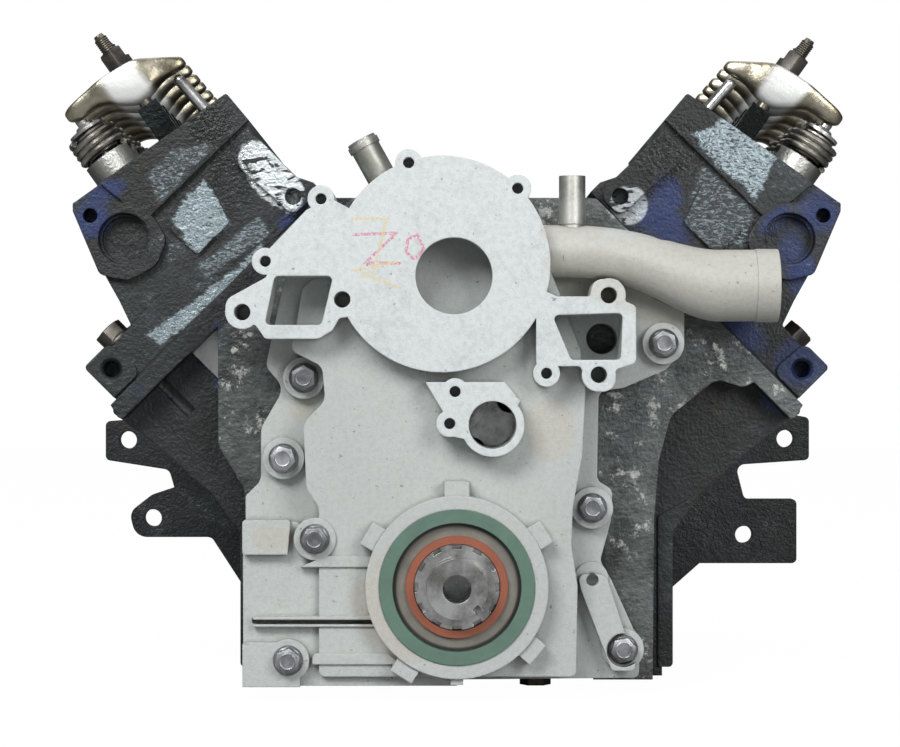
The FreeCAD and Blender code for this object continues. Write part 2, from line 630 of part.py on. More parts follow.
def front_cover():
    front = size("plate_front")
    case_front = size("case_front")
    flange_front = size("flange_front")
    pieces = [plate("case_flange", flange_outline(), flange_front, case_back - flange_front),
              plate("case_dome", dome_outline(), case_front, case_back - case_front),
              plate("pump_housing", pump_housing_outline(), size("housing_front"),
                    case_back - size("housing_front"))]
    pieces += pump_face_pieces(front)
    pieces.append(cylinder("pump_back", (size("plate_x"), case_front, size("plate_z")),
                           "Sizes.plate_radius - 6", case_back - case_front, ALONG_Y))
    pieces.append(cylinder("seal_boss", (0, size("seal_boss_front"), 0), "Sizes.seal_boss_radius", 30, ALONG_Y))
    for index, angle in enumerate(LUG_ANGLES):
        lug = box("lug_%d" % (index + 1), (-7.9, 17, 50), (7.9, 40, 67), turned(90 - angle))
        pieces.append(lug)
    pieces.append(box("lower_lug", (-4, 18, -62), (4, 40, -50)))
    pieces.append(hose_outlet(0, "hose_neck"))
    band = 14.5
    pieces.append(ring("hose_band", (size("outlet_end") - band, 40, OUTLET_HEIGHT), 21, 23.5, band, ALONG_X))
    for index, (across, up) in enumerate(COVER_BOLTS):
        seat = cover_bolt_seat(index)
        pieces.append(cylinder("bolt_pad_%d" % (index + 1), (across, seat, up), 13.5, case_back - seat, ALONG_Y))
    pieces.append(cylinder("dowel_boss", (DOWEL[0], flange_front - 2, DOWEL[1]), 11, 20, ALONG_Y))
    pieces += cover_ribs(case_front)
    tools = cover_openings(front, case_front)
    return cut("front_cover", join("cover_casting", pieces), tools)


def bypass_frame():
    return Placement(Vector(-47, 40, 259), Rotation(Vector(0, 1, 0), -29))


def bypass_pipe_way():
    return cylinder("bypass_seat", (0, 0, 0), 9.5, 30, frame=bypass_frame())


def cover_ribs(case_front):
    """Ribs and raised blocks of the lower case, by how far each stands forward of the chain case."""
    ribs = {
        "upper_block": ([(-136.7, 20, 2), (-108, 20), (-106, 42, 2), (-136.7, 42, 2)], 3),
        "pump_rib": ([(-100, 12), (-52, 12), (-50, 19, 2), (-84, 19, 2)], 2),
        "slot_rib": ([(-130, -26), (-50, -26), (-50, -19), (-130, -20)], 2),
        "foot_rib": ([(-92, -43, 3), (-44, -43), (-36, -50), (-92, -50)], 2),
        "foot": ([(-136.7, -64.5), (-100, -64.5), (-100, -36, 3), (-136.7, -36, 2)], 2),
        "side_web": ([(100, -56, 3), (116, -56, 3), (96, 6, 6), (78, 6, 4), (80, -4)], -16),
    }
    return [plate(label, corners, case_front - proud, 20) for label, (corners, proud) in ribs.items()]


def cover_bolt_seat(index):
    """The two lower left bolts seat on the pump housing, and the others on the flange."""
    return size("case_front") - 2 if index in HOUSING_BOLTS else size("flange_front") - 8


HOUSING_BOLTS = (2, 3)


def cover_openings(front, case_front):
    start = front - OVERCUT
    tools = [cylinder("pump_opening", (size("plate_x") + 7.5, start, 197), "Sizes.pump_opening", 20, ALONG_Y),
             cylinder("pump_chamber", (size("plate_x"), front + 9, size("plate_z")), "Sizes.pump_cavity", 28,
                      ALONG_Y)]
    left_window = [(-115, 197, 3), (-121.4, 166, 3), (-85.5, 166, 3), (-78, 197, 3)]
    right_window = [(60, 172.3, 3), (72, 144, 3), (103.4, 144, 3), (104.6, 173.6, 3)]
    tools.append(plate("left_window", left_window, start, 42))
    tools.append(plate("right_window", right_window, start, 42))
    tools.append(cylinder("water_passage", (94, start, 158), 10, 90, ALONG_Y))
    tools.append(cylinder("sensor_hole", (SENSOR[0], start, SENSOR[1]), "Sizes.sensor_radius", 60, ALONG_Y))
    for index, (across, up) in enumerate(SMALL_COVER_HOLES):
        tools.append(cylinder("small_hole_%d" % (index + 1), (across, start, up), 3.5, 18, ALONG_Y))
    for index, (across, up) in enumerate(LARGE_COVER_HOLES):
        tools.append(cylinder("large_hole_%d" % (index + 1), (across, start, up), 5.2, 30, ALONG_Y))
    for index, (across, up) in enumerate(COVER_BOLTS):
        tools.append(cylinder("cover_bolt_hole_%d" % (index + 1), (across, 20, up), 4.3, 70, ALONG_Y))
        tools.append(cylinder("cover_bolt_seat_%d" % (index + 1), (across, front, up), 11,
                              cover_bolt_seat(index) - front, ALONG_Y))
    tools.append(bypass_pipe_way())
    tools.append(cylinder("heater_seat", (74, 40, 222), "Sizes.nipple_spigot", 40))
    tools.append(cylinder("dowel_hole", (DOWEL[0], 20, DOWEL[1]), 4, 70, ALONG_Y))
    tools.append(cylinder("seal_bore", (0, size("seal_boss_front") - OVERCUT, 0), "Sizes.seal_case_radius", 14,
                          ALONG_Y))
    tools.append(cylinder("hub_bore", (0, 20, 0), "Sizes.seal_case_inner - 6", 70, ALONG_Y))
    tools.append(hose_outlet(size("outlet_wall"), "hose_way"))
    tools.append(box("slot", (-131, case_front - 6, -24.5), (-52, size("housing_front") + 4, -21.5)))
    cavity_front = case_back - size("chain_cavity_depth")
    cavity = [(-38, -44, 10), (38, -44, 10), (66, 100, 20), (66, 182, 30), (-66, 182, 30), (-66, 100, 20)]
    tools.append(plate("chain_cavity", cavity, cavity_front, size("chain_cavity_depth") + OVERCUT))
    tools.append(cylinder("heater_way", (74, 40, 215), 6, 60))
    return tools


def front_cover_gasket():
    corners = [(-134, -62), (116, -60), (117, -37, 6), (98, 8, 20), (95, 62, 10), (78, 92, 20), (88, 128, 10),
               (111, 152, 8), (111, 178, 6), (60, 196), (-60, 226), (-100, 190), (-120, 140, 8), (-96, 112, 12),
               (-122, 92, 10), (-124, 66, 10), (-100, 44, 12), (-134, 22)]
    blank = plate("gasket_blank", corners, case_back, "Sizes.cover_gasket")
    cavity = [(-38, -44, 10), (38, -44, 10), (66, 100, 20), (66, 182, 30), (-66, 182, 30), (-66, 100, 20)]
    tools = [plate("gasket_opening", cavity, case_back - OVERCUT, 3)]
    for index, (across, up) in enumerate(COVER_BOLTS + [DOWEL, (94, 158)]):
        tools.append(cylinder("gasket_hole_%d" % (index + 1), (across, 80, up), 4.3 if index < 8 else 10, 10, ALONG_Y))
    return cut("front_cover_gasket", blank, tools)


def front_cover_bolts():
    bolts = []
    for index, (across, up) in enumerate(COVER_BOLTS):
        seat = cover_bolt_seat(index)
        name = "cover_bolt_%d" % (index + 1)
        washer = cylinder(name + "_flange", (across, seat - 2, up), 9.5, 2, ALONG_Y)
        head = hexagon(name + "_hex", (across, seat - 9, up), size("cover_bolt_flats"), 8, ALONG_Y)
        shank = cylinder(name + "_shank", (across, seat - 2, up), 4, case_back - seat, ALONG_Y)
        bolts.append(join(name, [washer, head, shank]))
    return group("front_cover_bolts", bolts)


def small_front_pieces():
    pin_front = size("flange_front") - 4
    pin = cylinder("cover_dowel_pin", (DOWEL[0], pin_front, DOWEL[1]), 4, case_back - pin_front, ALONG_Y)
    case_front = size("seal_boss_front") - 1
    case = ring("crank_seal_case", (0, case_front, 0), "Sizes.seal_case_inner", "Sizes.seal_case_radius", 12,
                ALONG_Y)
    disc = cylinder("lip_disc", (0, case_front + 6, 0), "Sizes.seal_case_inner", 6, ALONG_Y)
    bead = cylinder("lip_bead", (0, case_front + 3, 0), "Sizes.seal_lip_outer", 6, ALONG_Y)
    bore = cylinder("lip_bore", (0, case_front, 0), "Sizes.seal_lip_inner", 20, ALONG_Y)
    lip = cut("crank_seal_lip", join("lip_solid", [disc, bead]), [bore])
    heater = ring("heater_tube", (74, 40, size("nipple_foot")), 6, "Sizes.nipple_radius",
                  "Sizes.nipple_tip - Sizes.nipple_foot", ALONG_Z)
    spigot = ring("heater_spigot", (74, 40, 224), 6, "Sizes.nipple_spigot", size("nipple_foot") - 223, ALONG_Z)
    lean = bypass_frame()
    bypass = ring("bypass_nipple", (0, 0, 0), 6.5, 9.5, 30, ALONG_Z, lean)
    bypass_bead = ring("bypass_bead", (0, 0, 24), 6.5, 10.5, 4, ALONG_Z, lean)
    pipes = [join("heater_nipple", [heater, spigot]), join("bypass_pipe", [bypass, bypass_bead])]
    return [pin, case, lip, group("water_nipples", pipes)]


def rear_seal_retainer():
    outline = [(-70, -40, 6), (70, -40, 6), (70, 62, 20), (-70, 62, 20)]
    solid = plate("retainer_solid", outline, block_rear, 9)
    bore = cylinder("retainer_bore", (0, block_rear - OVERCUT, 0), "Sizes.crank_flange_radius + 0.4", 12, ALONG_Y)
    collar_front = main_centres[3] + size("main_width") / 2 + 21
    collar = ring("retainer_collar", (0, collar_front, 0), "Sizes.crank_flange_radius + 0.4", 51.5,
                  block_rear - collar_front, ALONG_Y)
    return join("rear_seal_retainer", [cut("retainer_plate", solid, [bore]), collar])


# Crank train

def crank_angles(bay):
    """Angles of the left and right crankpins of one bay, from +Z towards +X."""
    left = size("first_throw") + 120 * bay
    return {"left": left, "right": left + size("split_angle")}


def pin_point(angle):
    return (size("throw") * math.sin(math.radians(angle)), size("throw") * math.cos(math.radians(angle)))


def crankshaft():
    snout_end = main_centres[0] - size("main_width") / 2
    pieces = [cylinder("snout", (0, 0, 0), "Sizes.snout_radius", snout_end + OVERCUT, ALONG_Y)]
    for index, station in enumerate(main_centres):
        pieces.append(cylinder("main_journal_%d" % (index + 1), (0, station - size("main_width") / 2, 0),
                               "Sizes.main_radius", "Sizes.main_width", ALONG_Y))
    for bay, centre in enumerate(bay_centres):
        angles = crank_angles(bay)
        half = size("pin_half_span")
        web = size("bore_pitch") / 2 - half - size("main_width") / 2
        left_x, left_z = pin_point(angles["left"])
        right_x, right_z = pin_point(angles["right"])
        pieces.append(cylinder("left_pin_%d" % (bay + 1), (left_x, centre - half, left_z), "Sizes.crankpin_radius",
                               "Sizes.pin_half_span + 1.6", ALONG_Y))
        pieces.append(cylinder("right_pin_%d" % (bay + 1), (right_x, centre - 1.6, right_z),
                               "Sizes.crankpin_radius", "Sizes.pin_half_span + 1.6", ALONG_Y))
        middle = (angles["left"] + angles["right"]) / 2
        middle_x, middle_z = pin_point(middle)
        pieces.append(cylinder("pin_web_%d" % (bay + 1), (middle_x, centre - 1.6, middle_z),
                               "Sizes.crankpin_radius + 8", 3.2, ALONG_Y))
        pieces += crank_web("front_web_%d" % (bay + 1), centre - half - web, web, angles["left"])
        pieces += crank_web("rear_web_%d" % (bay + 1), centre + half, web, angles["right"])
    rear = main_centres[3] + size("main_width") / 2
    pieces.append(cylinder("rear_shaft", (0, rear, 0), "Sizes.main_radius", block_rear - rear, ALONG_Y))
    pieces.append(cylinder("seal_land", (0, rear + 22, 0), "Sizes.crank_flange_radius",
                           block_rear + size("crank_flange_thickness") - rear - 22, ALONG_Y))
    tools = [cylinder("nose_thread", (0, -OVERCUT, 0), "Sizes.crank_bolt_radius", 60, ALONG_Y),
             cylinder("pilot", (0, block_rear, 0), 16, 30, ALONG_Y),
             box("keyway", (-2.4, -OVERCUT, 16), (2.4, 44, 22), turned(KEY_ANGLE))]
    for index in range(6):
        turn = math.radians(60 * index + 30)
        place = (size("flexplate_circle") * math.sin(turn), block_rear - 6, size("flexplate_circle") * math.cos(turn))
        tools.append(cylinder("flexplate_hole_%d" % (index + 1), place, "Sizes.flexplate_hole", 30, ALONG_Y))
    return cut("crankshaft", join("crank_forging", pieces), tools)


KEY_ANGLE = 135


def crank_web(name, low, thickness, angle):
    """One cheek: the pin's and the main's rounds with a neck between them, and a sector as counterweight."""
    frame = turned(angle)
    half = size("crankpin_radius") + 6
    neck = box(name + "_neck", (-half, low, 0), (half, low + thickness, size("throw")), frame)
    pin_round = cylinder(name + "_pin_round", (0, low, size("throw")), "Sizes.crankpin_radius + 6", thickness,
                         ALONG_Y, frame)
    hub = cylinder(name + "_hub", (0, low, 0), "Sizes.main_radius + 8", thickness, ALONG_Y, frame)
    start = Rotation(Vector(0, 1, 0), 90 + 25)
    weight = cylinder(name + "_weight", (0, low, 0), "Sizes.counterweight_radius", thickness,
                      start.multiply(ALONG_Y), frame, 130)
    return [neck, pin_round, hub, weight]


def sprocket_outline(teeth):
    pitch_radius = size("chain_pitch") / (2 * math.sin(math.pi / teeth))
    step = 2 * math.pi / teeth
    corners = []
    for tooth in range(teeth):
        for share, reach in ((-0.32, -2.6), (-0.14, 3), (0.14, 3), (0.32, -2.6)):
            turn = (tooth + share) * step
            corners.append(((pitch_radius + reach) * math.sin(turn), (pitch_radius + reach) * math.cos(turn)))
    return corners


def pitch_radius(teeth):
    return size("chain_pitch") / (2 * math.sin(math.pi / teeth))


def crank_sprocket():
    front = size("sprocket_front")
    teeth = plate("crank_sprocket_teeth", sprocket_outline(int(size("crank_teeth"))), front, 8)
    sleeve = cylinder("crank_sleeve", (0, 18, 0), "Sizes.hub_radius", 40, ALONG_Y)
    neck = cylinder("crank_sleeve_neck", (0, 56, 0), 22.5, 26, ALONG_Y)
    tools = [cylinder("crank_sleeve_bore", (0, 10, 0), "Sizes.snout_radius", 80, ALONG_Y)]
    for index in range(12):
        tools.append(box("sleeve_slot_%d" % (index + 1), (-3, 17, 24.5), (3, 23, 30), turned(30 * index)))
    tools.append(box("sleeve_keyway", (-2.4, 10, 18), (2.4, 44, 22), turned(KEY_ANGLE)))
    return cut("crank_sprocket", join("crank_sprocket_solid", [teeth, sleeve, neck]), tools)


def crank_key():
    return box("crank_key", (-2.4, 6, 16), (2.4, 44, 22), turned(KEY_ANGLE))


def cam_sprocket():
    teeth = int(2 * size("crank_teeth"))
    frame = Placement(Vector(0, 0, size("cam_height")), Rotation())
    disc = plate("cam_sprocket_teeth", sprocket_outline(teeth), size("sprocket_front"), 8, frame)
    boss = cylinder("cam_sprocket_boss", (0, size("sprocket_front") - 3, size("cam_height")), 20, 20, ALONG_Y)
    tools = [cylinder("cam_sprocket_bore", (0, 50, size("cam_height")), "Sizes.cam_core_radius", 40, ALONG_Y)]
    for index in range(5):
        turn = math.radians(72 * index + 18)
        place = (34 * math.sin(turn), 60, size("cam_height") + 34 * math.cos(turn))
        tools.append(cylinder("cam_sprocket_window_%d" % (index + 1), place, 8, 20, ALONG_Y))
    return cut("cam_sprocket", join("cam_sprocket_solid", [disc, boss]), tools)


def cam_sprocket_bolt():
    height = size("cam_height")
    washer = cylinder("cam_bolt_washer", (0, size("cam_front") - 2.5, height), 15, 2.5, ALONG_Y)
    head = hexagon("cam_bolt_hex", (0, size("cam_front") - 2.7, height), 19, 2.7, ALONG_Y)
    return join("cam_sprocket_bolt", [washer, head])


def camshaft():
    height = size("cam_height")
    rear = main_centres[3] + 14
    pieces = [cylinder("cam_core", (0, size("cam_front"), height), "Sizes.cam_core_radius",
                       rear - size("cam_front"), ALONG_Y)]
    for index, station in enumerate(main_centres):
        pieces.append(cylinder("cam_journal_%d" % (index + 1), (0, station - size("cam_journal_width") / 2, height),
                               "Sizes.cam_journal_radius", "Sizes.cam_journal_width", ALONG_Y))
    for side_name, side in SIDES.items():
        for kind in ("intake", "exhaust"):
            lead = 55 if kind == "intake" else -55
            for index, station in enumerate(valve_stations(side, kind)):
                angle = side * lifter_angle + 180 - crank_angles(index)[side_name] / 2 + lead
                name = "%s_%s_lobe_%d" % (side_name, kind, index + 1)
                low = station - size("lobe_width") / 2
                frame = Placement(Vector(0, 0, height), Rotation(Vector(0, 1, 0), angle))
                flank = [(-14, 4), (14, 4), (6.2, 17), (-6.2, 17)]
                pieces.append(cylinder(name + "_base", (0, low, 0), "Sizes.cam_base_radius", "Sizes.lobe_width",
                                       ALONG_Y, frame))
                pieces.append(cylinder(name + "_nose", (0, low, size("cam_nose_reach")), "Sizes.cam_nose_radius",
                                       "Sizes.lobe_width", ALONG_Y, frame))
                pieces.append(plate(name + "_flank", flank, low, "Sizes.lobe_width", frame))
    return join("camshaft", pieces)


def belt(name, low_radius, high_radius, low, length):
    """A solid that wraps a circle round the crank axis and one round the cam axis."""
    span = size("cam_height")
    slope = -(high_radius - low_radius) / span
    reach = math.sqrt(1 - slope * slope)
    low_right = Vector(low_radius * reach, low_radius * slope, 0)
    high_right = Vector(high_radius * reach, span + high_radius * slope, 0)
    low_left = Vector(-low_right.x, low_right.y, 0)
    high_left = Vector(-high_right.x, high_right.y, 0)
    edges = [Part.LineSegment(low_right, high_right), Part.Arc(high_right, Vector(0, span + high_radius, 0), high_left),
             Part.LineSegment(high_left, low_left), Part.Arc(low_left, Vector(0, -low_radius, 0), low_right)]
    return padded(name, edges, low, length, STRAIGHT)


def timing_chain():
    inner = 3 + size("fit_gap")
    outer = inner + size("chain_thickness")
    crank_pitch = pitch_radius(size("crank_teeth"))
    cam_pitch = pitch_radius(2 * size("crank_teeth"))
    low = size("sprocket_front") - 1
    outside = belt("chain_outside", crank_pitch + outer, cam_pitch + outer, low, size("chain_width"))
    inside = belt("chain_inside", crank_pitch + inner, cam_pitch + inner, low, size("chain_width"))
    return cut("timing_chain", outside, [inside])


def piston_pose(side_name, bay):
    """How far the wrist pin stands from the crank axis, and how far the rod leans from the bore."""
    phase = math.radians(crank_angles(bay)[side_name] - SIDES[side_name] * size("bank_angle"))
    lean = math.asin(size("throw") * math.sin(phase) / size("rod_length"))
    return size("throw") * math.cos(phase) + size("rod_length") * math.cos(lean), math.degrees(lean)


def piston(number, side_name, bay):
    side = SIDES[side_name]
    frame = bank(side)
    centre = cylinder_centres(side)[bay]
    wrist, lean = piston_pose(side_name, bay)
    name = "piston_%d" % number
    bottom = wrist - size("skirt_depth")
    crown = wrist + size("piston_height")
    body = cylinder(name + "_blank", (0, centre, bottom), "Sizes.bore_radius - Sizes.piston_clearance",
                    "Sizes.piston_height + Sizes.skirt_depth", frame=frame)
    hollow = cylinder(name + "_hollow", (0, centre, bottom - OVERCUT), "Sizes.bore_radius - 5.5",
                      crown - 10 - bottom, frame=frame)
    shell = cut(name + "_shell", body, [hollow])
    bosses = [box("%s_boss_%s" % (name, label), (-15, centre + low, wrist - 16), (15, centre + low + 31, crown - 8),
                  frame) for label, low in (("front", -44), ("rear", 13))]
    dish = cylinder(name + "_dish", (0, centre, crown - 2), 30, 4, frame=frame)
    pin_hole = cylinder(name + "_pin_hole", (0, centre - 50, wrist), "Sizes.wrist_radius", 100, ALONG_Y, frame)
    tools = [dish, pin_hole]
    rings = []
    for index, (drop, thickness) in enumerate(((5, 1.6), (10, 1.6), (16, 3))):
        label = "%s_ring_%d" % (name, index + 1)
        place = (0, centre, crown - drop - thickness)
        tools.append(ring(label + "_groove", place, "Sizes.bore_radius - 4", "Sizes.bore_radius + 1", thickness,
                          ALONG_Z, frame))
        rings.append(ring(label, place, "Sizes.bore_radius - 4", "Sizes.bore_radius - 0.02", thickness, ALONG_Z,
                          frame))
    solid = cut(name + "_solid", join(name + "_casting", [shell] + bosses), tools)
    pin = ring(name + "_pin", (0, centre - 33, wrist), "Sizes.wrist_radius - 4", "Sizes.wrist_radius", 66, ALONG_Y,
               frame)
    return group(name, [solid, pin] + rings)


def connecting_rod(number, side_name, bay):
    side = SIDES[side_name]
    wrist, lean = piston_pose(side_name, bay)
    across, up = pin_point(crank_angles(bay)[side_name])
    centre = cylinder_centres(side)[bay]
    frame = Placement(Vector(across, 0, up), Rotation(Vector(0, 1, 0), side * size("bank_angle") - lean))
    name = "rod_%d" % number
    half = size("rod_width") / 2
    length = size("rod_length")
    low = centre - half
    big = cylinder(name + "_big_end", (0, low, 0), "Sizes.crankpin_radius + 8", "Sizes.rod_width", ALONG_Y, frame)
    shoulder = [(-44, -11, 3), (44, -11, 3), (44, 11, 5), (20, 34, 8), (12, 60), (-12, 60), (-20, 34, 8), (-44, 11, 5)]
    shoulders = plate(name + "_shoulders", shoulder, low, "Sizes.rod_width", frame)
    beam = plate(name + "_beam", [(-15, 20), (15, 20), (9, length - 10), (-9, length - 10)], centre - 7, 14, frame)
    eye = cylinder(name + "_eye", (0, centre - 11, length), "Sizes.wrist_radius + Sizes.eye_clearance + 5", 22,
                   ALONG_Y, frame)
    tools = [cylinder(name + "_big_bore", (0, low - OVERCUT, 0), "Sizes.crankpin_radius + Sizes.running_clearance",
                      "Sizes.rod_width + 2", ALONG_Y, frame),
             cylinder(name + "_eye_bore", (0, low - OVERCUT, length), "Sizes.wrist_radius + Sizes.eye_clearance", 30,
                      ALONG_Y, frame)]
    for label, channel_low in (("front", centre - 8), ("rear", centre + 3)):
        channel = [(-9, 52, 3), (9, 52, 3), (5, length - 26, 2), (-5, length - 26, 2)]
        tools.append(plate("%s_channel_%s" % (name, label), channel, channel_low, 5, frame))
    bolts = []
    for label, place in (("near", -37), ("far", 37)):
        tools.append(cylinder("%s_bolt_way_%s" % (name, label), (place, centre, -12), 4.2, 22, frame=frame))
        head = hexagon("%s_nut_%s" % (name, label), (place, centre, -18), 12, 7, frame=frame)
        shank = cylinder("%s_stem_%s" % (name, label), (place, centre, -12), 4.2, 22, frame=frame)
        bolts.append(join("%s_bolt_%s" % (name, label), [head, shank]))
    whole = cut(name + "_whole", join(name + "_forging", [big, shoulders, beam, eye]), tools)
    upper_half = box(name + "_upper_half", (-60, centre - 20, 0), (60, centre + 20, 200), frame)
    lower_half = box(name + "_lower_half", (-60, centre - 20, -60), (60, centre + 20, 0), frame)
    return group(name, [common(name + "_beam_half", whole, upper_half), common(name + "_cap", whole, lower_half)]
                 + bolts)


def common(name, first, second):
    made = document.addObject("Part::Common", name)
    made.Base = first
    made.Tool = second
    return made


# Valve gear

def valves(side_name, kind):
    side = SIDES[side_name]
    frame = rail(side)
    seat = size("valve_seat_height")
    across = side * size("valve_place")
    made = []
    for index, station in enumerate(valve_stations(side, kind)):
        name = "%s_%s_valve_%d" % (side_name, kind, index + 1)
        radius = "Sizes.%s_radius" % kind
        rim = cylinder(name + "_rim", (across, station, seat), radius, 2.5, frame=frame)
        tulip = cone(name + "_tulip", (across, station, seat + 2.5), radius + " - 1", 4, 10, frame=frame)
        stem = cylinder(name + "_stem", (across, station, seat), "Sizes.stem_radius", size("valve_tip_height") - seat,
                        frame=frame)
        low = size("retainer_height")
        retainer = cylinder(name + "_retainer", (across, station, low), 13.5, 2.2, frame=frame)
        collar = cone(name + "_collar", (across, station, low + 2.2), 8.5, 6.5, 3, frame=frame)
        made.append(join(name, [rim, tulip, stem, retainer, collar]))
    return group("%s_%s_valves" % (side_name, kind), made)


def springs(side_name, kind):
    side = SIDES[side_name]
    low = size("spring_seat_height")
    length = size("retainer_height") - low
    rings = [ring("%s_%s_spring_%d" % (side_name, kind, index + 1), (side * size("valve_place"), station, low),
                  "Sizes.spring_radius - 5", "Sizes.spring_radius", length, ALONG_Z, rail(side))
             for index, station in enumerate(valve_stations(side, kind))]
    return group("%s_%s_springs" % (side_name, kind), rings)


def rocker_outline():
    """The stamped rocker from the side, pushrod end first: (outward, height) above the crank axis."""
    return [(-53, 392.5, 2), (-50, 384, 2), (-30, 384.5, 6), (-21, 380.4, 8), (-7, 380.4, 8), (9, 396.5, 8),
            (24, 396.8, 2), (36, 399, 3), (34, 408.5, 3), (3, 411, 6), (-26, 408.5, 10), (-40, 398, 8)]


def rockers(side_name, kind):
    side = SIDES[side_name]
    frame = rail(side)
    half = size("rocker_half_width")
    wall = size("rocker_wall")
    made = []
    for index, station in enumerate(valve_stations(side, kind)):
        name = "%s_%s_rocker_%d" % (side_name, kind, index + 1)
        solid = plate(name + "_blank", mirrored(rocker_outline(), side), station - half, 2 * half, frame)
        trough = [(-47, 388, 2), (-30, 388, 3), (-22, 384.5), (-6, 384.5), (9, 400), (28, 401, 2), (31, 420),
                  (-30, 420), (-45, 402)]
        hollow = plate(name + "_trough", mirrored(trough, side), station - half + wall, 2 * (half - wall), frame)
        pivot = (side * size("stud_place"), station - half + wall, size("pivot_height"))
        seat = cylinder(name + "_seat", pivot, "Sizes.ball_radius + Sizes.fit_gap", 2 * (half - wall), ALONG_Y, frame)
        low = min(side * (size("stud_place") - 8), side * (size("stud_place") + 8))
        slot = box(name + "_slot", (low, station - 6, 370), (low + 16, station + 6, 400), frame)
        pad = cylinder(name + "_tip_pad", (side * (size("valve_place") + 0.5), station - 6, 403.3), 8, 12, ALONG_Y,
                       frame)
        pad_floor = box(name + "_pad_floor", (side * size("valve_place") - 10, station - 10, 401),
                        (side * size("valve_place") + 10, station + 10, 415), frame)
        shell = cut(name + "_shell", solid, [hollow, seat, slot])
        made.append(join(name, [shell, cut(name + "_pad", pad, [pad_floor])]))
    return group("%s_%s_rockers" % (side_name, kind), made)


def pushrods(side_name, kind):
    side = SIDES[side_name]
    frame = lifter_line(side)
    start = size("lifter_start")
    top = start + size("lifter_length")
    made = []
    for index, station in enumerate(valve_stations(side, kind)):
        name = "%s_%s_pushrod_%d" % (side_name, kind, index + 1)
        lifter = cylinder(name + "_lifter", (0, station, start), "Sizes.lifter_radius", "Sizes.lifter_length",
                          frame=frame)
        groove = ring(name + "_groove", (0, station, start + 26), "Sizes.lifter_radius - 1", "Sizes.lifter_radius + 1",
                      8, ALONG_Z, frame)
        cup = cone(name + "_cup", (0, station, top - 3), 3, 6, 3.01, frame=frame)
        lifter_solid = cut(name + "_lifter_body", lifter, [groove, cup])
        rod = cylinder(name + "_rod", (0, station, top - 3), "Sizes.pushrod_radius - 0.9",
                       pushrod_reach - top - 1, frame=frame)
        tube = cylinder(name + "_tube", (0, station, top + 1), "Sizes.pushrod_radius", pushrod_reach - top - 5,
                        frame=frame)
        ball = document.addObject("Part::Sphere", name + "_ball")
        ball.Radius = size("pushrod_radius")
        ball.Placement = frame.multiply(Placement(Vector(0, station, pushrod_reach - 4), Rotation()))
        made.append(lifter_solid)
        made.append(join(name + "_whole", [rod, tube, ball]))
    return group("%s_%s_pushrods" % (side_name, kind), made)


def stud_row():
    """Pedestals, pivots, studs and nuts of all twelve rockers."""
    rows = {"rocker_pedestals": [], "rocker_pivots": [], "rocker_studs": [], "rocker_nuts": []}
    for side_name, side in SIDES.items():
        frame = rail(side)
        across = side * size("stud_place")
        for index, station in enumerate(all_valve_stations(side)):
            name = "%s_%d" % (side_name, index + 1)
            block = box("pedestal_block_" + name, (across - 7.5, station - 9, size("rail_height")),
                        (across + 7.5, station + 9, 378), frame)
            way = cylinder("pedestal_way_" + name, (across, station, 340), "Sizes.stud_radius", 50, frame=frame)
            rows["rocker_pedestals"].append(cut("pedestal_" + name, block, [way]))
            ball = document.addObject("Part::Sphere", "pivot_ball_" + name)
            ball.Radius = size("ball_radius")
            ball.Placement = frame.multiply(Placement(Vector(across, station, size("pivot_height")), Rotation()))
            lid = box("pivot_lid_" + name, (across - 20, station - 20, 399), (across + 20, station + 20, 420), frame)
            hole = cylinder("pivot_hole_" + name, (across, station, 370), "Sizes.stud_radius", 60, frame=frame)
            rows["rocker_pivots"].append(cut("pivot_" + name, ball, [lid, hole]))
            stud = cylinder("stud_rod_" + name, (across, station, size("rail_height")), "Sizes.stud_radius",
                            "Sizes.stud_top - Sizes.rail_height", frame=frame)
            rows["rocker_studs"].append(stud)
            nut = hexagon("nut_hex_" + name, (across, station, 404), 15, 19, frame=frame)
            foot = cylinder("nut_foot_" + name, (across, station, 399), 6.8, 6, frame=frame)
            nut_hole = cylinder("nut_hole_" + name, (across, station, 390), "Sizes.stud_radius", 60, frame=frame)
            rows["rocker_nuts"].append(cut("nut_" + name, join("nut_blank_" + name, [nut, foot]), [nut_hole]))
    return [group(label, pieces) for label, pieces in rows.items()]


nodes = [engine_block(), main_caps(), main_cap_bolts(), main_bearing_shells(), cam_bearings(), core_plugs()]
for side_name in SIDES:
    nodes += [cylinder_head(side_name), head_gasket(side_name)]
nodes += [head_bolts(), front_cover(), front_cover_gasket(), front_cover_bolts(), rear_seal_retainer()]
nodes += small_front_pieces()
nodes += [crankshaft(), crank_sprocket(), crank_key(), cam_sprocket(), cam_sprocket_bolt(), camshaft(),
          timing_chain()]
number = 0
for bay in range(3):
    for side_name in SIDES:
        number += 1
        nodes.append(piston(number, side_name, bay))
        nodes.append(connecting_rod(number, side_name, bay))
for side_name in SIDES:
    for kind in ("intake", "exhaust"):
        nodes += [valves(side_name, kind), springs(side_name, kind), rockers(side_name, kind),
                  pushrods(side_name, kind)]
nodes += stud_row()
document.recompute()

for piece in document.Objects:
    if "Invalid" in piece.State or "Error" in piece.State:
        raise RuntimeError("failed: " + piece.Name)
os.makedirs("parts", exist_ok=True)
for node in nodes:
    if node.Shape.isNull() or not node.Shape.isValid():
        raise RuntimeError("no valid shape: " + node.Label)
for node in nodes:
    node.Shape.exportStep("parts/" + node.Label + ".step")
    print(node.Label, len(node.Shape.Solids), round(node.Shape.Volume))
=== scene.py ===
import bmesh
import bpy
import json
import math

from mathutils import Matrix, Vector


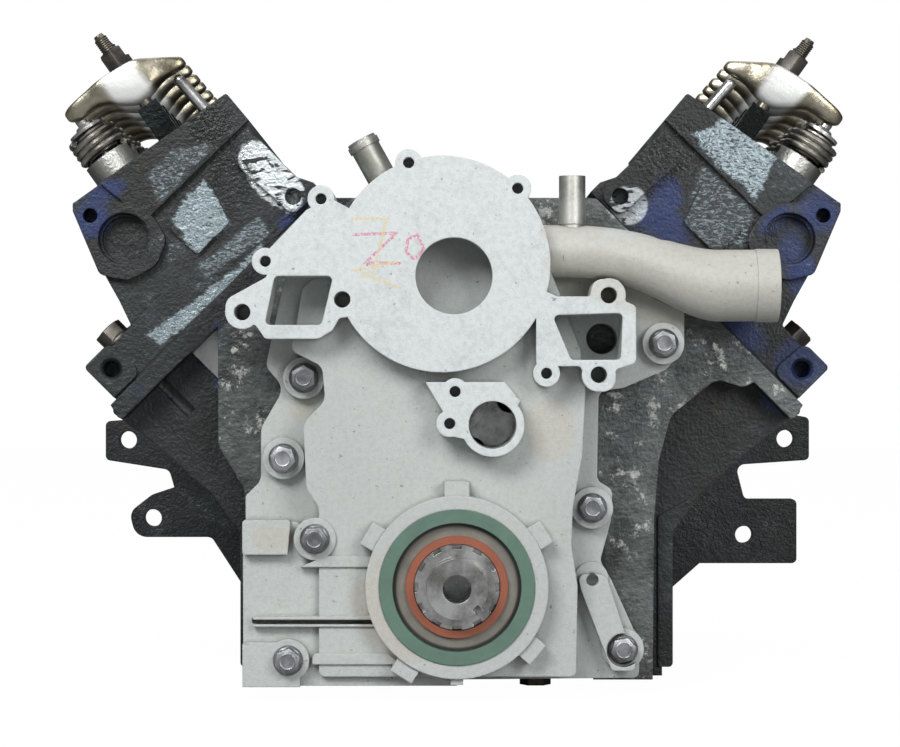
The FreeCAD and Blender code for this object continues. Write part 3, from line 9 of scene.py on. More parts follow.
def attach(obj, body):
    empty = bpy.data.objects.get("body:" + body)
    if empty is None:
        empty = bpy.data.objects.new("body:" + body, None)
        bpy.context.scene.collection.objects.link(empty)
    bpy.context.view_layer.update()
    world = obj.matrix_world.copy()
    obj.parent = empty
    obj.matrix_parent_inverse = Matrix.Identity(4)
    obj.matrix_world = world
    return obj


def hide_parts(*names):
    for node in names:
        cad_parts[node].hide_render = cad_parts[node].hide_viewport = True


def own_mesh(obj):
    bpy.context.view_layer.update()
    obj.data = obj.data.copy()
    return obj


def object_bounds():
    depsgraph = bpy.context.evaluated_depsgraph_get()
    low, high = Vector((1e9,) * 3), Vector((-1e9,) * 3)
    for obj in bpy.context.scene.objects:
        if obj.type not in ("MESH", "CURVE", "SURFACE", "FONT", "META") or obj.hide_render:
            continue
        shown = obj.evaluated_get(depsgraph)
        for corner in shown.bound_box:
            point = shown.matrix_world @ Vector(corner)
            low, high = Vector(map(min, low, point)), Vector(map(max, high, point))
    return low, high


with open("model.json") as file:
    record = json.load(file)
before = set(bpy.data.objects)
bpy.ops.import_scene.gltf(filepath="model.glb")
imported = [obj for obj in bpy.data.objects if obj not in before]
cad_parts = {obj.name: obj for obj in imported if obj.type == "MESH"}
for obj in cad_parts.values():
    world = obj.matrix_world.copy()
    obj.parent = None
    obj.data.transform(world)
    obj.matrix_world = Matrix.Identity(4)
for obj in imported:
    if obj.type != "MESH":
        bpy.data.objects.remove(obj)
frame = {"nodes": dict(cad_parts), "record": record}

# A V6 long block, seen from the timing end. X is to the right, Y rearwards along the crankshaft, Z up.

scene = bpy.context.scene
scene.view_settings.view_transform = "Standard"
cad_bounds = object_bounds()

MM = 0.001
LEFT = -1
RIGHT = 1
SIDES = {"left": LEFT, "right": RIGHT}

# Degrees by which a cylinder bank, and the rocker rail on it, lean from upright

BANK_ANGLE = 45
RAIL_ANGLE = 35.5


# Shader maths

class Signal:
    """A shader number that adds a Math node for each operator written on it."""

    def __init__(self, finish, socket):
        self.finish = finish
        self.socket = socket

    def __add__(self, other):
        return self.finish.maths("ADD", self, other)

    def __sub__(self, other):
        return self.finish.maths("SUBTRACT", self, other)

    def __mul__(self, other):
        return self.finish.maths("MULTIPLY", self, other)

    def __rsub__(self, other):
        return self.finish.maths("SUBTRACT", other, self)

    def __abs__(self):
        return self.finish.maths("ABSOLUTE", self)

    __radd__ = __add__
    __rmul__ = __mul__

    def clamp(self):
        return self.finish.maths("ADD", self, 0.0, use_clamp=True)

    def over(self, other):
        """The larger of the two."""
        return self.finish.maths("MAXIMUM", self, other)

    def under(self, other):
        """The smaller of the two."""
        return self.finish.maths("MINIMUM", self, other)


class Finish:
    """A material and the nodes that make it."""

    # A patch's outline wanders by this much and ends here, as shares of its reach

    PATCH_WANDER = 1.6
    PATCH_END = 1.15

    # A region's outline wanders by this much and fades over this much, in millimetres

    REGION_WANDER = 16
    REGION_FADE = 2

    def __init__(self, name):
        self.material = bpy.data.materials.new(name)
        self.material.use_nodes = True
        self.tree = self.material.node_tree
        self.shader = self.tree.nodes["Principled BSDF"]
        self.place = self.node("ShaderNodeTexCoord").outputs["Object"]
        split = self.node("ShaderNodeSeparateXYZ", Vector=self.place)
        self.across, self.back, self.up = (Signal(self, socket) for socket in split.outputs)

    def node(self, kind, settings=None, numbered=(), **named):
        """A node of that type: its settings, then its sockets' values or links, in order or by name."""
        made = self.tree.nodes.new(kind)
        for name, value in (settings or {}).items():
            setattr(made, name, value)
        for index, value in enumerate(numbered):
            self.feed(made.inputs[index], value)
        for name, value in named.items():
            self.feed(made.inputs[name], value)
        return made

    def feed(self, target, value):
        if isinstance(value, Signal):
            value = value.socket
        if isinstance(value, bpy.types.NodeSocket):
            self.tree.links.new(value, target)
        else:
            target.default_value = value

    def maths(self, operation, *values, use_clamp=False):
        made = self.node("ShaderNodeMath", {"operation": operation, "use_clamp": use_clamp}, values)
        return Signal(self, made.outputs[0])

    def noise(self, scale, detail=4.0, roughness=0.55, stretch=(1, 1, 1), turn=(0, 0, 0), distortion=0.0):
        mapping = self.node("ShaderNodeMapping", Vector=self.place, Scale=stretch, Rotation=turn)
        made = self.node("ShaderNodeTexNoise", Vector=mapping.outputs[0], Scale=scale, Detail=detail,
                         Roughness=roughness, Distortion=distortion)
        return Signal(self, made.outputs["Fac"])

    def patch(self, centre, reach, turn=0.0, wobble=None, core=0.8):
        """1 inside an ellipse on the front, fading to 0; centre (x, z) and reach in millimetres."""
        lean = math.radians(turn)
        right = self.across - centre[0] * MM
        above = self.up - centre[1] * MM
        along = (right * math.cos(lean) + above * math.sin(lean)) * (1 / (reach[0] * MM))
        aside = (above * math.cos(lean) - right * math.sin(lean)) * (1 / (reach[1] * MM))
        distance = along * along + aside * aside
        if wobble is not None:
            distance = distance + (wobble - 0.5) * self.PATCH_WANDER
        return 1 - self.band(distance, core, self.PATCH_END)

    def patches(self, places, wobble=None, core=0.8):
        """1 inside any of the ellipses."""
        inside = self.patch(*places[0], wobble, core)
        for centre, reach, turn in places[1:]:
            inside = inside.over(self.patch(centre, reach, turn, wobble, core))
        return inside

    def region(self, corners, wobble):
        """1 inside a convex outline on the front; its corners (x, z) run clockwise, in millimetres."""
        inside = None
        for first, last in zip(corners, corners[1:] + corners[:1]):
            span = (Vector(last) - Vector(first)).normalized()
            depth = (self.across * (1 / MM) - first[0]) * span.y - (self.up * (1 / MM) - first[1]) * span.x
            inside = depth if inside is None else inside.under(depth)
        return self.band(inside + (wobble - 0.5) * self.REGION_WANDER, -self.REGION_FADE, self.REGION_FADE)

    def stroke(self, first, last, half_width):
        """1 on the straight line between two points of the front, in millimetres."""
        span = Vector(last) - Vector(first)
        right = self.across - first[0] * MM
        above = self.up - first[1] * MM
        reach = span.length_squared * MM
        share = (right * (span.x / reach) + above * (span.y / reach)).clamp()
        aside = right - share * (span.x * MM)
        over = above - share * (span.y * MM)
        edge = half_width * MM
        return 1 - self.band(aside * aside + over * over, (edge * 0.7) ** 2, edge ** 2)

    def facing_down(self):
        """High on surfaces that look down."""
        normal = self.node("ShaderNodeNewGeometry").outputs["Normal"]
        split = self.node("ShaderNodeSeparateXYZ", Vector=normal)
        return self.band(Signal(self, split.outputs[2]) * -1, 0.05, 0.55)

    def rail_place(self):
        """Metres along a rocker rail, outwards, and metres up from it, alike on both banks."""
        lean = math.radians(RAIL_ANGLE)
        outwards = abs(self.across)
        along = outwards * math.cos(lean) - self.up * math.sin(lean)
        height = outwards * math.sin(lean) + self.up * math.cos(lean)
        return along, height

    def crevice(self, reach):
        """High in corners and hollows no wider than the reach."""
        made = self.node("ShaderNodeAmbientOcclusion", {"samples": 4}, Distance=reach)
        return 1 - Signal(self, made.outputs["AO"])

    def band(self, signal, low, high):
        """0 below low, 1 above high, smooth between."""
        made = self.node("ShaderNodeMapRange", {"interpolation_type": "SMOOTHSTEP"}, Value=signal,
                         **{"From Min": low, "From Max": high})
        return Signal(self, made.outputs[0])

    def blend(self, share, first, second):
        made = self.node("ShaderNodeMix", {"data_type": "RGBA"})
        self.feed(made.inputs[0], share)
        for socket, value in ((made.inputs[6], first), (made.inputs[7], second)):
            self.feed(socket, (*value, 1) if isinstance(value, tuple) else value)
        return made.outputs[2]

    def edges(self, radius):
        """The rounded normal, and how far it leans from the face's own, which is high along edges."""
        rounded = self.node("ShaderNodeBevel", {"samples": 4}, Radius=radius)
        flat = self.node("ShaderNodeNewGeometry")
        made = self.node("ShaderNodeVectorMath", {"operation": "DOT_PRODUCT"},
                         (rounded.outputs[0], flat.outputs["True Normal"]))
        return rounded.outputs[0], 1 - Signal(self, made.outputs["Value"])

    def finish(self, colour, roughness, metallic=0.0, height=None, depth=0.0005, normal=None):
        """Feeds the shader; height is a bump of that depth, in metres, on the normal."""
        sockets = {"Base Color": colour, "Roughness": roughness, "Metallic": metallic}
        for socket, value in sockets.items():
            self.feed(self.shader.inputs[socket], (*value, 1) if isinstance(value, tuple) else value)
        if height is not None:
            bump = self.node("ShaderNodeBump", Height=height, Distance=depth, Strength=1.0)
            if normal is not None:
                self.feed(bump.inputs["Normal"], normal)
            self.feed(self.shader.inputs["Normal"], bump.outputs[0])
        elif normal is not None:
            self.feed(self.shader.inputs["Normal"], normal)
        return self.material


# Finishes

# Marks on the front, as (x, z) in millimetres: strokes, and ellipses as centre, reach and turn

PINK_STROKES = [
    ((-65, 223), (-38, 224)), ((-38, 224), (-58, 205)), ((-58, 205), (-36, 205)),
    ((-31, 220), (-25, 223)), ((-25, 223), (-21, 214)), ((-21, 214), (-27, 207)),
    ((-27, 207), (-32, 212)), ((-32, 212), (-31, 220)),
]
YELLOW_STROKES = [
    ((-66, 233), (-44, 233)), ((-66, 200), (-38, 206)), ((-44, 233), (-54, 196)), ((-60, 198), (-36, 190)),
]
CRAYON_WIDTH = 1.1
WARM_STAINS = [
    ((150, 196), (90, 30), -5), ((74, 226), (22, 10), 0), ((-100, 112), (10, 8), 20),
    ((-20, -10), (46, 40), 0), ((-118, 30), (14, 8), 0), ((60, 100), (16, 20), 0),
]
PUMP_FACE_DEPTH = (0.0103, 0.0112)

BLASTED_GREY = (0.43, 0.455, 0.44)
BLASTED_PALE = (0.56, 0.585, 0.57)
MACHINED_PALE = (0.635, 0.675, 0.675)
WARM_STAIN = (0.50, 0.45, 0.36)
GREY_STAIN = (0.36, 0.36, 0.34)
FACE_SMUDGE = (0.40, 0.42, 0.42)
DARK_MOTTLE = (0.22, 0.22, 0.21)
DARK_SPECK = (0.10, 0.10, 0.10)
PINK_CRAYON = (0.62, 0.10, 0.22)
YELLOW_CRAYON = (0.70, 0.52, 0.22)
CORNER_DIRT_AND_SHADE = (0.13, 0.12, 0.10)
BRIGHT_EDGE = (0.74, 0.75, 0.74)


def cast_aluminium():
    """Blasted grey casting: a paler machined pump face, warm stains, grime and painted shade in the corners,
    crayon marks.
    """
    made = Finish("blasted_aluminium")
    cloud = made.noise(9, detail=6, roughness=0.6)
    colour = made.blend(cloud, BLASTED_GREY, BLASTED_PALE)
    face = 1 - made.band(made.back, *PUMP_FACE_DEPTH)
    colour = made.blend(face * 0.85, colour, MACHINED_PALE)
    wobble = made.noise(30, detail=6, roughness=0.7)
    colour = made.blend(made.patches(WARM_STAINS, wobble) * 0.4, colour, WARM_STAIN)
    stain = made.band(made.noise(24, detail=8, roughness=0.65, distortion=0.6), 0.58, 0.74)
    colour = made.blend(stain * 0.35, colour, GREY_STAIN)
    smudge = made.band(made.noise(55, detail=9, roughness=0.78), 0.50, 0.68) * face
    colour = made.blend(smudge * 0.45, colour, FACE_SMUDGE)
    mottle = made.band(made.noise(330, detail=3, roughness=0.7), 0.40, 0.66)
    colour = made.blend(mottle * 0.16, colour, DARK_MOTTLE)
    speck = made.band(made.noise(260, detail=3), 0.68, 0.74)
    colour = made.blend(speck * 0.6, colour, DARK_SPECK)
    for strokes, tint in ((PINK_STROKES, PINK_CRAYON), (YELLOW_STROKES, YELLOW_CRAYON)):
        marks = made.stroke(*strokes[0], CRAYON_WIDTH)
        for first, last in strokes[1:]:
            marks = marks.over(made.stroke(first, last, CRAYON_WIDTH))
        broken = made.band(made.noise(700, detail=2), 0.40, 0.55)
        colour = made.blend(marks * broken * face * 0.75, colour, tint)
    # Darker in corners and hollows: partly grime, partly painted shade from the occlusion there
    dirt_and_shade = made.band(made.crevice(0.005) + made.noise(80, detail=5) * 0.3, 0.42, 0.95)
    colour = made.blend(dirt_and_shade * 0.8, colour, CORNER_DIRT_AND_SHADE)
    rounded, edge = made.edges(0.0012)
    colour = made.blend((edge * 3).clamp() * 0.3, colour, BRIGHT_EDGE)
    grain = made.noise(900, detail=2) * 0.6 + made.noise(180, detail=4) * 0.4
    rough = 0.46 + made.noise(60) * 0.2
    return made.finish(colour, rough, 0.15, grain, 0.00035, rounded)


# Places on the iron's front, as (x, z) in millimetres: those of wear and glint are outlines, each with its
# strength; there bare metal shows and glints are painted

HEAD_PLACES = {
    "wear_and_glint": [
        ([(-167, 266), (-150, 234), (-171, 212), (-188, 237)], 0.95),
        ([(-203, 266), (-189, 281), (-165, 289), (-160, 284), (-183, 260), (-197, 246)], 0.50),
        ([(-204, 161), (-129, 219), (-123, 211), (-195, 154)], 1.0),
        ([(-175, 205), (-131, 238), (-124, 228), (-165, 196)], 0.60),
        ([(156, 293), (175, 304), (212, 283), (202, 257), (197, 249), (172, 274)], 0.85),
        ([(162, 272), (197, 246), (192, 219), (165, 219), (148, 236)], 0.50),
    ],
    "blue": [
        ((-241, 238), (15, 14), 0), ((-233, 254), (18, 8), 25), ((-107, 239), (16, 10), 35),
        ((134, 236), (28, 14), -35), ((139, 253), (12, 15), 0), ((88, 242), (12, 12), 0),
        ((239, 242), (17, 16), 0), ((228, 200), (12, 34), 20), ((210, 236), (15, 8), 40),
        ((228, 142), (22, 20), 0), ((189, 162), (22, 13), -40),
    ],
    "oily": [
        ((-147, 263), (17, 32), 0), ((137, 279), (34, 28), 0), ((-163, 299), (18, 16), 0),
        ((112, 222), (16, 8), 40),
    ],
}
SCRAPED_EAR = ((-121, 264), (28, 14), -50)
POLISHED_EAR = ((113.6, 246.4), (12.5, 12.5), 0)
BLOCK_PLACES = {
    "wear_and_glint": [([(80, 217), (97, 229), (103, 222), (86, 208)], 0.8)],
    "blue": [
        ((-157, 145), (7, 28), 0), ((196, 150), (34, 12), -45), ((-190, 170), (40, 10), 45),
        ((214, 120), (14, 12), 0),
    ],
    "oily": [],
}

# Where a mask starts and ends, in metres

FRONT_DEPTH = (0.122, 0.140)
BLOCK_FACE_DEPTH = (0.0853, 0.0860)
LEFT_LIP_HEIGHT = (0.2255, 0.2268)
SEAT_HEIGHT = (0.3500, 0.3506)
SPRING_SIDE = (0.006, 0.008)

BLACK_PAINT = (0.003, 0.0035, 0.003)
SLATE_PAINT = (0.012, 0.017, 0.019)
BROWN_OIL = (0.030, 0.022, 0.013)
DEEP_BLUE = (0.006, 0.020, 0.095)
WORN_STEEL_AND_GLINT = (0.34, 0.41, 0.44)
SCRAPED_STEEL = (0.62, 0.66, 0.67)
DARK_GREY_IRON = (0.035, 0.040, 0.038)
GREY_IRON = (0.16, 0.175, 0.17)
PALE_IRON = (0.46, 0.47, 0.45)
SEAT_METAL = (0.46, 0.46, 0.43)
UNDERSIDE_SHADE = (0.008, 0.008, 0.006)
CREVICE_DIRT_AND_SHADE = (0.003, 0.003, 0.003)


def scraped_ears(made, front, wobble):
    """Bright metal in wavy lines, where the heads' lifting ears were scraped and wiped."""
    waves = made.noise(70, detail=3, roughness=0.5, stretch=(1, 1, 3.2), turn=(0, -0.75, 0), distortion=1.2)
    ear = made.patch(*SCRAPED_EAR, wobble, core=0.9)
    other_ear = made.patch(*POLISHED_EAR, core=0.9) * 0.6
    return ear.over(other_ear) * front * made.band(waves, 0.40, 0.47)


def machined_block_face(made, colour, metal_and_painted_glint):
    """The milled front of the block: scratched grey with pale spots, up to the painted left deck lip."""
    lean = math.radians(BANK_ANGLE)
    below_lip = 1 - made.band(made.up * math.cos(lean) - made.across * math.sin(lean), *LEFT_LIP_HEIGHT)
    flat = (1 - made.band(made.back, *BLOCK_FACE_DEPTH)) * below_lip
    scratches = made.noise(160, detail=8, roughness=0.75, stretch=(1, 1, 4), turn=(0, 0.8, 0))
    clouds = made.noise(26, detail=6, roughness=0.65)
    spots = made.band(made.noise(75, detail=7, roughness=0.75), 0.57, 0.64)
    grey = made.blend(made.band(scratches * 0.5 + clouds * 0.5, 0.36, 0.64), DARK_GREY_IRON, GREY_IRON)
    grey = made.blend(spots, grey, PALE_IRON)
    return made.blend(flat * 0.95, colour, grey), metal_and_painted_glint.over(flat * 0.5)


def machined_spring_seats(made, colour, metal_and_painted_glint):
    """Bright seats and collars under the springs."""
    along, height = made.rail_place()
    seat = made.band(height, *SEAT_HEIGHT)
    return made.blend(seat * made.band(along, *SPRING_SIDE), colour, SEAT_METAL), metal_and_painted_glint.over(seat)


def painted_iron(name, places, machined, scraped_places=None):
    """Thin blue-black paint over rough iron: wet with oil, deep blue in places, with bare metal and painted
    glints where it is rubbed.
    """
    made = Finish(name)
    wobble = made.noise(38, detail=7, roughness=0.7, distortion=0.3)
    cloud = made.noise(8, detail=5)
    fine = made.noise(420, detail=4)
    front = 1 - made.band(made.back, *FRONT_DEPTH)
    rounded, edge = made.edges(0.0014)

    colour = made.blend(made.band(cloud, 0.36, 0.64), BLACK_PAINT, SLATE_PAINT)
    brown = made.band(made.noise(20, detail=7, roughness=0.7), 0.56, 0.70)
    colour = made.blend(brown * 0.5, colour, BROWN_OIL)
    blue = made.band(made.noise(10, detail=4, distortion=0.5), 0.62, 0.72) * 0.4
    blue = blue.over(made.patches(places["blue"], wobble, core=0.1) * front)
    colour = made.blend(blue, colour, DEEP_BLUE)

    oily = made.band(made.noise(11, detail=3), 0.56, 0.66)
    if places["oily"]:
        oily = oily.over(made.patches(places["oily"], wobble, core=0.3) * front)
    wear_and_glint = made.band(made.noise(15, detail=9, roughness=0.72, distortion=0.9), 0.52, 0.72) * 0.55
    wear_and_glint = wear_and_glint * (1 - oily * 0.8)
    for corners, share in places["wear_and_glint"]:
        wear_and_glint = wear_and_glint.over(made.region(corners, wobble) * front * share)
    wear_and_glint = wear_and_glint.over((edge * 2.4).clamp() * made.band(wobble, 0.45, 0.6) * 0.8)
    # Painted glints: bright flecks painted into the colour, most where the paint is rubbed, some in oily
    # places and a few everywhere
    streaks = made.noise(260, detail=6, roughness=0.7, stretch=(1, 1, 2.6), turn=(0, 0.85, 0), distortion=0.8)
    glint = made.band(streaks + (wear_and_glint - 0.5) * 0.22, 0.50, 0.58)
    metal_and_painted_glint = (wear_and_glint * 0.16 + glint * (wear_and_glint * 0.95 + oily * 0.30 + 0.10)).clamp()
    colour = made.blend(metal_and_painted_glint * 0.85, colour, WORN_STEEL_AND_GLINT)
    if scraped_places is not None:
        scraped = scraped_places(made, front, wobble)
        colour = made.blend(scraped, colour, SCRAPED_STEEL)
        metal_and_painted_glint = metal_and_painted_glint.over(scraped)
    colour, metal_and_painted_glint = machined(made, colour, metal_and_painted_glint)

    # Painted shade: surfaces that look down are darkened
    colour = made.blend(made.facing_down() * 0.7, colour, UNDERSIDE_SHADE)
    # Darker in corners and hollows: partly grime, partly painted shade from the occlusion there
    dirt_and_shade = made.band(made.crevice(0.007) + made.noise(60) * 0.2, 0.40, 0.90)
    colour = made.blend(dirt_and_shade * 0.9, colour, CREVICE_DIRT_AND_SHADE)
    grain = fine * 0.4 + made.noise(80, detail=6, roughness=0.65) * 0.6
    rough = (0.30 + cloud * 0.16 + fine * 0.10 - oily * 0.14 - metal_and_painted_glint * 0.06).clamp()
    return made.finish(colour, rough, metal_and_painted_glint * 0.85, grain, 0.0013, rounded)


def steel(name, light, dark, roughness):
    made = Finish(name)
    stain = made.noise(35, detail=6, roughness=0.65)
    fine = made.noise(300, detail=3)
    colour = made.blend(made.band(stain, 0.38, 0.64), dark, light)
    rounded, edge = made.edges(0.0006)
    colour = made.blend((edge * 3).clamp() * 0.4, colour, (0.75, 0.74, 0.72))
    return made.finish(colour, roughness + stain * 0.22, 0.95, fine, 0.00015, rounded)


def thread_steel():
    """Brown-black steel without rounded edges, which would blur a thread."""
    made = Finish("thread_steel")
    colour = made.blend(made.noise(40, detail=5), (0.10, 0.09, 0.07), (0.24, 0.22, 0.18))
    return made.finish(colour, 0.34, 0.9)


POLISH_AND_HIGHLIGHT_MIDDLE = -0.010


def rocker_steel():
    """Bronze-brown pressed steel, white round the stud: partly polish, partly a painted highlight."""
    made = Finish("pressed_steel")
    stain = made.noise(35, detail=6, roughness=0.65)
    colour = made.blend(made.band(stain, 0.36, 0.66), (0.20, 0.175, 0.12), (0.46, 0.43, 0.34))
    along, _ = made.rail_place()
    # Near-white band round the stud: polish, and a painted highlight of the front light
    polish_and_highlight = 1 - made.band(abs(along - POLISH_AND_HIGHLIGHT_MIDDLE) + (stain - 0.5) * 0.012, 0.010, 0.0165)
    colour = made.blend(polish_and_highlight * 0.9, colour, (0.84, 0.85, 0.84))
    rough = 0.22 + stain * 0.16 + polish_and_highlight * 0.10
    return made.finish(colour, rough, 0.95 - polish_and_highlight * 0.45, made.noise(160, detail=4), 0.00035)


def dull(name, light, dark, roughness):
    made = Finish(name)
    cloud = made.noise(60, detail=6, roughness=0.65)
    fine = made.noise(480, detail=3)
    rounded, _ = made.edges(0.0008)
    return made.finish(made.blend(cloud, dark, light), roughness + cloud * 0.15, 0.0, fine, 0.00025, rounded)


LIP_EDGE = (0.0324, 0.0327)
DISC_EDGE = (0.0375, 0.0395)


def seal_rubber():
    """A rust-brown lip within a grey-brown disc, with painted groove shade round the disc."""
    made = Finish("seal_rubber")
    cloud = made.noise(60, detail=6, roughness=0.65)
    reach = made.across * made.across + made.up * made.up
    disc = made.band(reach, LIP_EDGE[0] ** 2, LIP_EDGE[1] ** 2)
    colour = made.blend(cloud, (0.24, 0.070, 0.036), (0.36, 0.115, 0.062))
    colour = made.blend(disc, colour, made.blend(cloud, (0.10, 0.095, 0.08), (0.30, 0.28, 0.24)))
    # Dark ring at the disc's edge: painted shade of the groove there
    rim = made.band(reach, DISC_EDGE[0] ** 2, DISC_EDGE[1] ** 2)
    colour = made.blend(rim, colour, (0.02, 0.02, 0.018))
    return made.finish(colour, 0.36 + cloud * 0.15, 0.0, made.noise(400), 0.0002)


FINISHES = {
    "block_iron": painted_iron("blue_black_block", BLOCK_PLACES, machined_block_face),
    "head_iron": painted_iron("blue_black_head", HEAD_PLACES, machined_spring_seats, scraped_ears),
    "cover_metal": cast_aluminium(),
    "bolt_steel": steel("zinc_bolt", (0.42, 0.43, 0.45), (0.16, 0.16, 0.17), 0.30),
    "dark_steel": steel("black_oxide", (0.15, 0.135, 0.12), (0.05, 0.045, 0.04), 0.34),
    "forged_steel": steel("ground_steel", (0.62, 0.62, 0.61), (0.26, 0.26, 0.25), 0.18),
    "rocker_steel": rocker_steel(),
    "spring_steel": steel("spring_wire", (0.44, 0.42, 0.37), (0.13, 0.12, 0.10), 0.24),
    "piston_metal": steel("piston_alloy", (0.72, 0.72, 0.71), (0.5, 0.5, 0.49), 0.30),
    "bearing_metal": steel("bearing_alloy", (0.60, 0.57, 0.52), (0.4, 0.37, 0.33), 0.25),
    "pipe_steel": steel("plated_pipe", (0.58, 0.58, 0.54), (0.34, 0.34, 0.30), 0.36),
    "seal_case_paint": dull("green_sealer", (0.13, 0.22, 0.17), (0.07, 0.13, 0.10), 0.45),
    "seal_rubber": seal_rubber(),
    "gasket_sheet": dull("gasket_sheet", (0.05, 0.05, 0.05), (0.02, 0.02, 0.02), 0.7),
}


def dress_nodes():
    for row in frame["record"]["subparts"]:
        piece = frame["nodes"][row["node"]]
        piece.data.materials.clear()
        piece.data.materials.append(FINISHES[row["material_slot"]])


# Modelling helpers; pieces are modelled in millimetres and brought to metres at the end

SMOOTH_ANGLE = math.radians(38)


def about_y(degrees):
    return Matrix.Rotation(math.radians(degrees), 4, "Y")


TOWARDS_REAR = Matrix.Rotation(math.radians(-90), 4, "X")
TOWARDS_FRONT = Matrix.Rotation(math.radians(90), 4, "X")


def settle(name, mesh, body, finish, replaced):
    """The mesh becomes a piece in metres that rides on its body and takes its finish."""
    bmesh.ops.remove_doubles(mesh, verts=mesh.verts, dist=0.0005)
    bmesh.ops.recalc_face_normals(mesh, faces=mesh.faces)
    bmesh.ops.scale(mesh, verts=mesh.verts, vec=(MM, MM, MM))
    data = bpy.data.meshes.new(name)
    mesh.to_mesh(data)
    mesh.free()
    piece = bpy.data.objects.new(name, data)
    scene.collection.objects.link(piece)
    data.materials.append(FINISHES[finish])
    data.shade_smooth()
    data.set_sharp_from_angle(angle=SMOOTH_ANGLE)
    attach(piece, body)
    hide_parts(*replaced)
    return piece


def put(mesh, part, frame_matrix):
    """Copies a small mesh into a larger one, moved by a frame."""
    bmesh.ops.transform(part, matrix=frame_matrix, verts=part.verts)
    data = bpy.data.meshes.new("part")
    part.to_mesh(data)
    part.free()
    mesh.from_mesh(data)
    bpy.data.meshes.remove(data)


def lathe(profile, steps=28):
    """A turned solid: (radius, height) points spun about Z; ends on the axis close it."""
    part = bmesh.new()
    corners = [part.verts.new((radius, 0, height)) for radius, height in profile]
    edges = [part.edges.new(pair) for pair in zip(corners, corners[1:])]
    bmesh.ops.spin(part, geom=corners + edges, cent=(0, 0, 0), axis=(0, 0, 1), angle=math.tau, steps=steps,
                   use_merge=True)
    bmesh.ops.remove_doubles(part, verts=part.verts, dist=0.0005)
    return part


def hex_prism(flats, height, chamfer):
    part = bmesh.new()
    radius = flats / math.sqrt(3)
    bmesh.ops.create_cone(part, cap_ends=True, segments=6, radius1=radius, radius2=radius, depth=height)
    bmesh.ops.translate(part, verts=part.verts, vec=(0, 0, height / 2))
    top = [edge for edge in part.edges if all(vert.co.z > height * 0.9 for vert in edge.verts)]
    bmesh.ops.bevel(part, geom=top, offset=chamfer, segments=2, profile=0.5, affect="EDGES", material=-1)
    sides = [edge for edge in part.edges if abs(edge.verts[0].co.z - edge.verts[1].co.z) > height * 0.5]
    bmesh.ops.bevel(part, geom=sides, offset=0.25, segments=1, profile=0.5, affect="EDGES", material=-1)
    return part


def flange_bolt(flats, height, flange_radius, flange_height):
    """A hexagon head on a flange; the origin is the seat and Z points out of the head."""
    part = bmesh.new()
    put(part, lathe([(0, 0), (flange_radius, 0), (flange_radius, flange_height * 0.5),
                     (flange_radius - 0.5, flange_height * 0.8), (flats * 0.5, flange_height * 1.3),
                     (0, flange_height * 1.3)]), Matrix())
    put(part, hex_prism(flats, height, 0.8), Matrix())
    put(part, lathe([(0, height + 0.02), (flats * 0.27, height + 0.02), (flats * 0.33, height + 0.5),
                     (flats * 0.36, height + 0.02)]), Matrix())
    return part


STEPS_A_TURN = 18


def coil(radius, wire, height, turns, sides=8):
    """A closed-end coil spring that stands on Z = 0."""
    part = bmesh.new()
    bmesh.ops.create_circle(part, cap_ends=False, segments=sides, radius=wire)
    bmesh.ops.transform(part, matrix=Matrix.Translation((radius, 0, wire)) @ TOWARDS_REAR, verts=part.verts)
    count = int(STEPS_A_TURN * turns)
    rise = (height - 2 * wire) / count
    bmesh.ops.spin(part, geom=part.verts[:] + part.edges[:], cent=(0, 0, 0), axis=(0, 0, 1),
                   dvec=(0, 0, rise), angle=math.tau * turns, steps=count, use_merge=False)
    bmesh.ops.holes_fill(part, edges=[edge for edge in part.edges if edge.is_boundary], sides=0)
    return part


# Stations along the crankshaft

FIRST_BAY = 165.85
BORE_PITCH = 107.7
BANK_STAGGER = 25
VALVE_OFFSET = 24
VALVE_KINDS = ("intake", "exhaust")


def bore_stations(side):
    return [FIRST_BAY + index * BORE_PITCH + side * BANK_STAGGER / 2 for index in range(3)]


def valve_stations(side, kind):
    step = -VALVE_OFFSET if kind == "exhaust" else VALVE_OFFSET
    return [station + step for station in bore_stations(side)]


# Valve gear

VALVE_PLACE = 28.5
STUD_PLACE = -14
SPRING_SEAT = 366
RETAINER = 387
COIL_PLAY = 0.2


def add_springs(side_name, kind):
    side = SIDES[side_name]
    mesh = bmesh.new()
    length = RETAINER - SPRING_SEAT - COIL_PLAY
    for station in valve_stations(side, kind):
        seat = about_y(side * RAIL_ANGLE) @ Matrix.Translation((side * VALVE_PLACE, station, SPRING_SEAT))
        put(mesh, coil(radius=15.4, wire=2.3, height=length, turns=3.6), seat)
        put(mesh, coil(radius=10.9, wire=1.2, height=length, turns=6, sides=6), seat)
    stem = "%s_%s" % (side_name, kind)
    piece = settle(stem + "_coils", mesh, "root", "spring_steel", [stem + "_springs"])
    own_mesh(piece)


# A rocker's stations from the pushrod to the valve: place along the rail, half width, floor and rim

ROCKER_STATIONS = [
    (-52.5, 3.0, 386.5, 391.5), (-49.0, 5.5, 384.3, 393.5), (-42.0, 7.0, 384.6, 398.0),
    (-34.0, 8.0, 385.6, 403.0), (-26.0, 10.5, 383.2, 408.2), (-19.0, 11.0, 381.0, 409.6),
    (-10.0, 11.0, 380.8, 410.2), (-2.0, 11.0, 385.6, 410.6), (6.0, 10.0, 392.6, 410.6),
    (13.0, 8.6, 396.4, 409.6), (21.0, 8.0, 396.2, 408.8), (29.0, 7.4, 395.4, 408.0),
    (34.0, 5.4, 398.0, 406.5), (36.0, 3.0, 400.5, 405.0),
]
ROCKER_WALL = 2.6


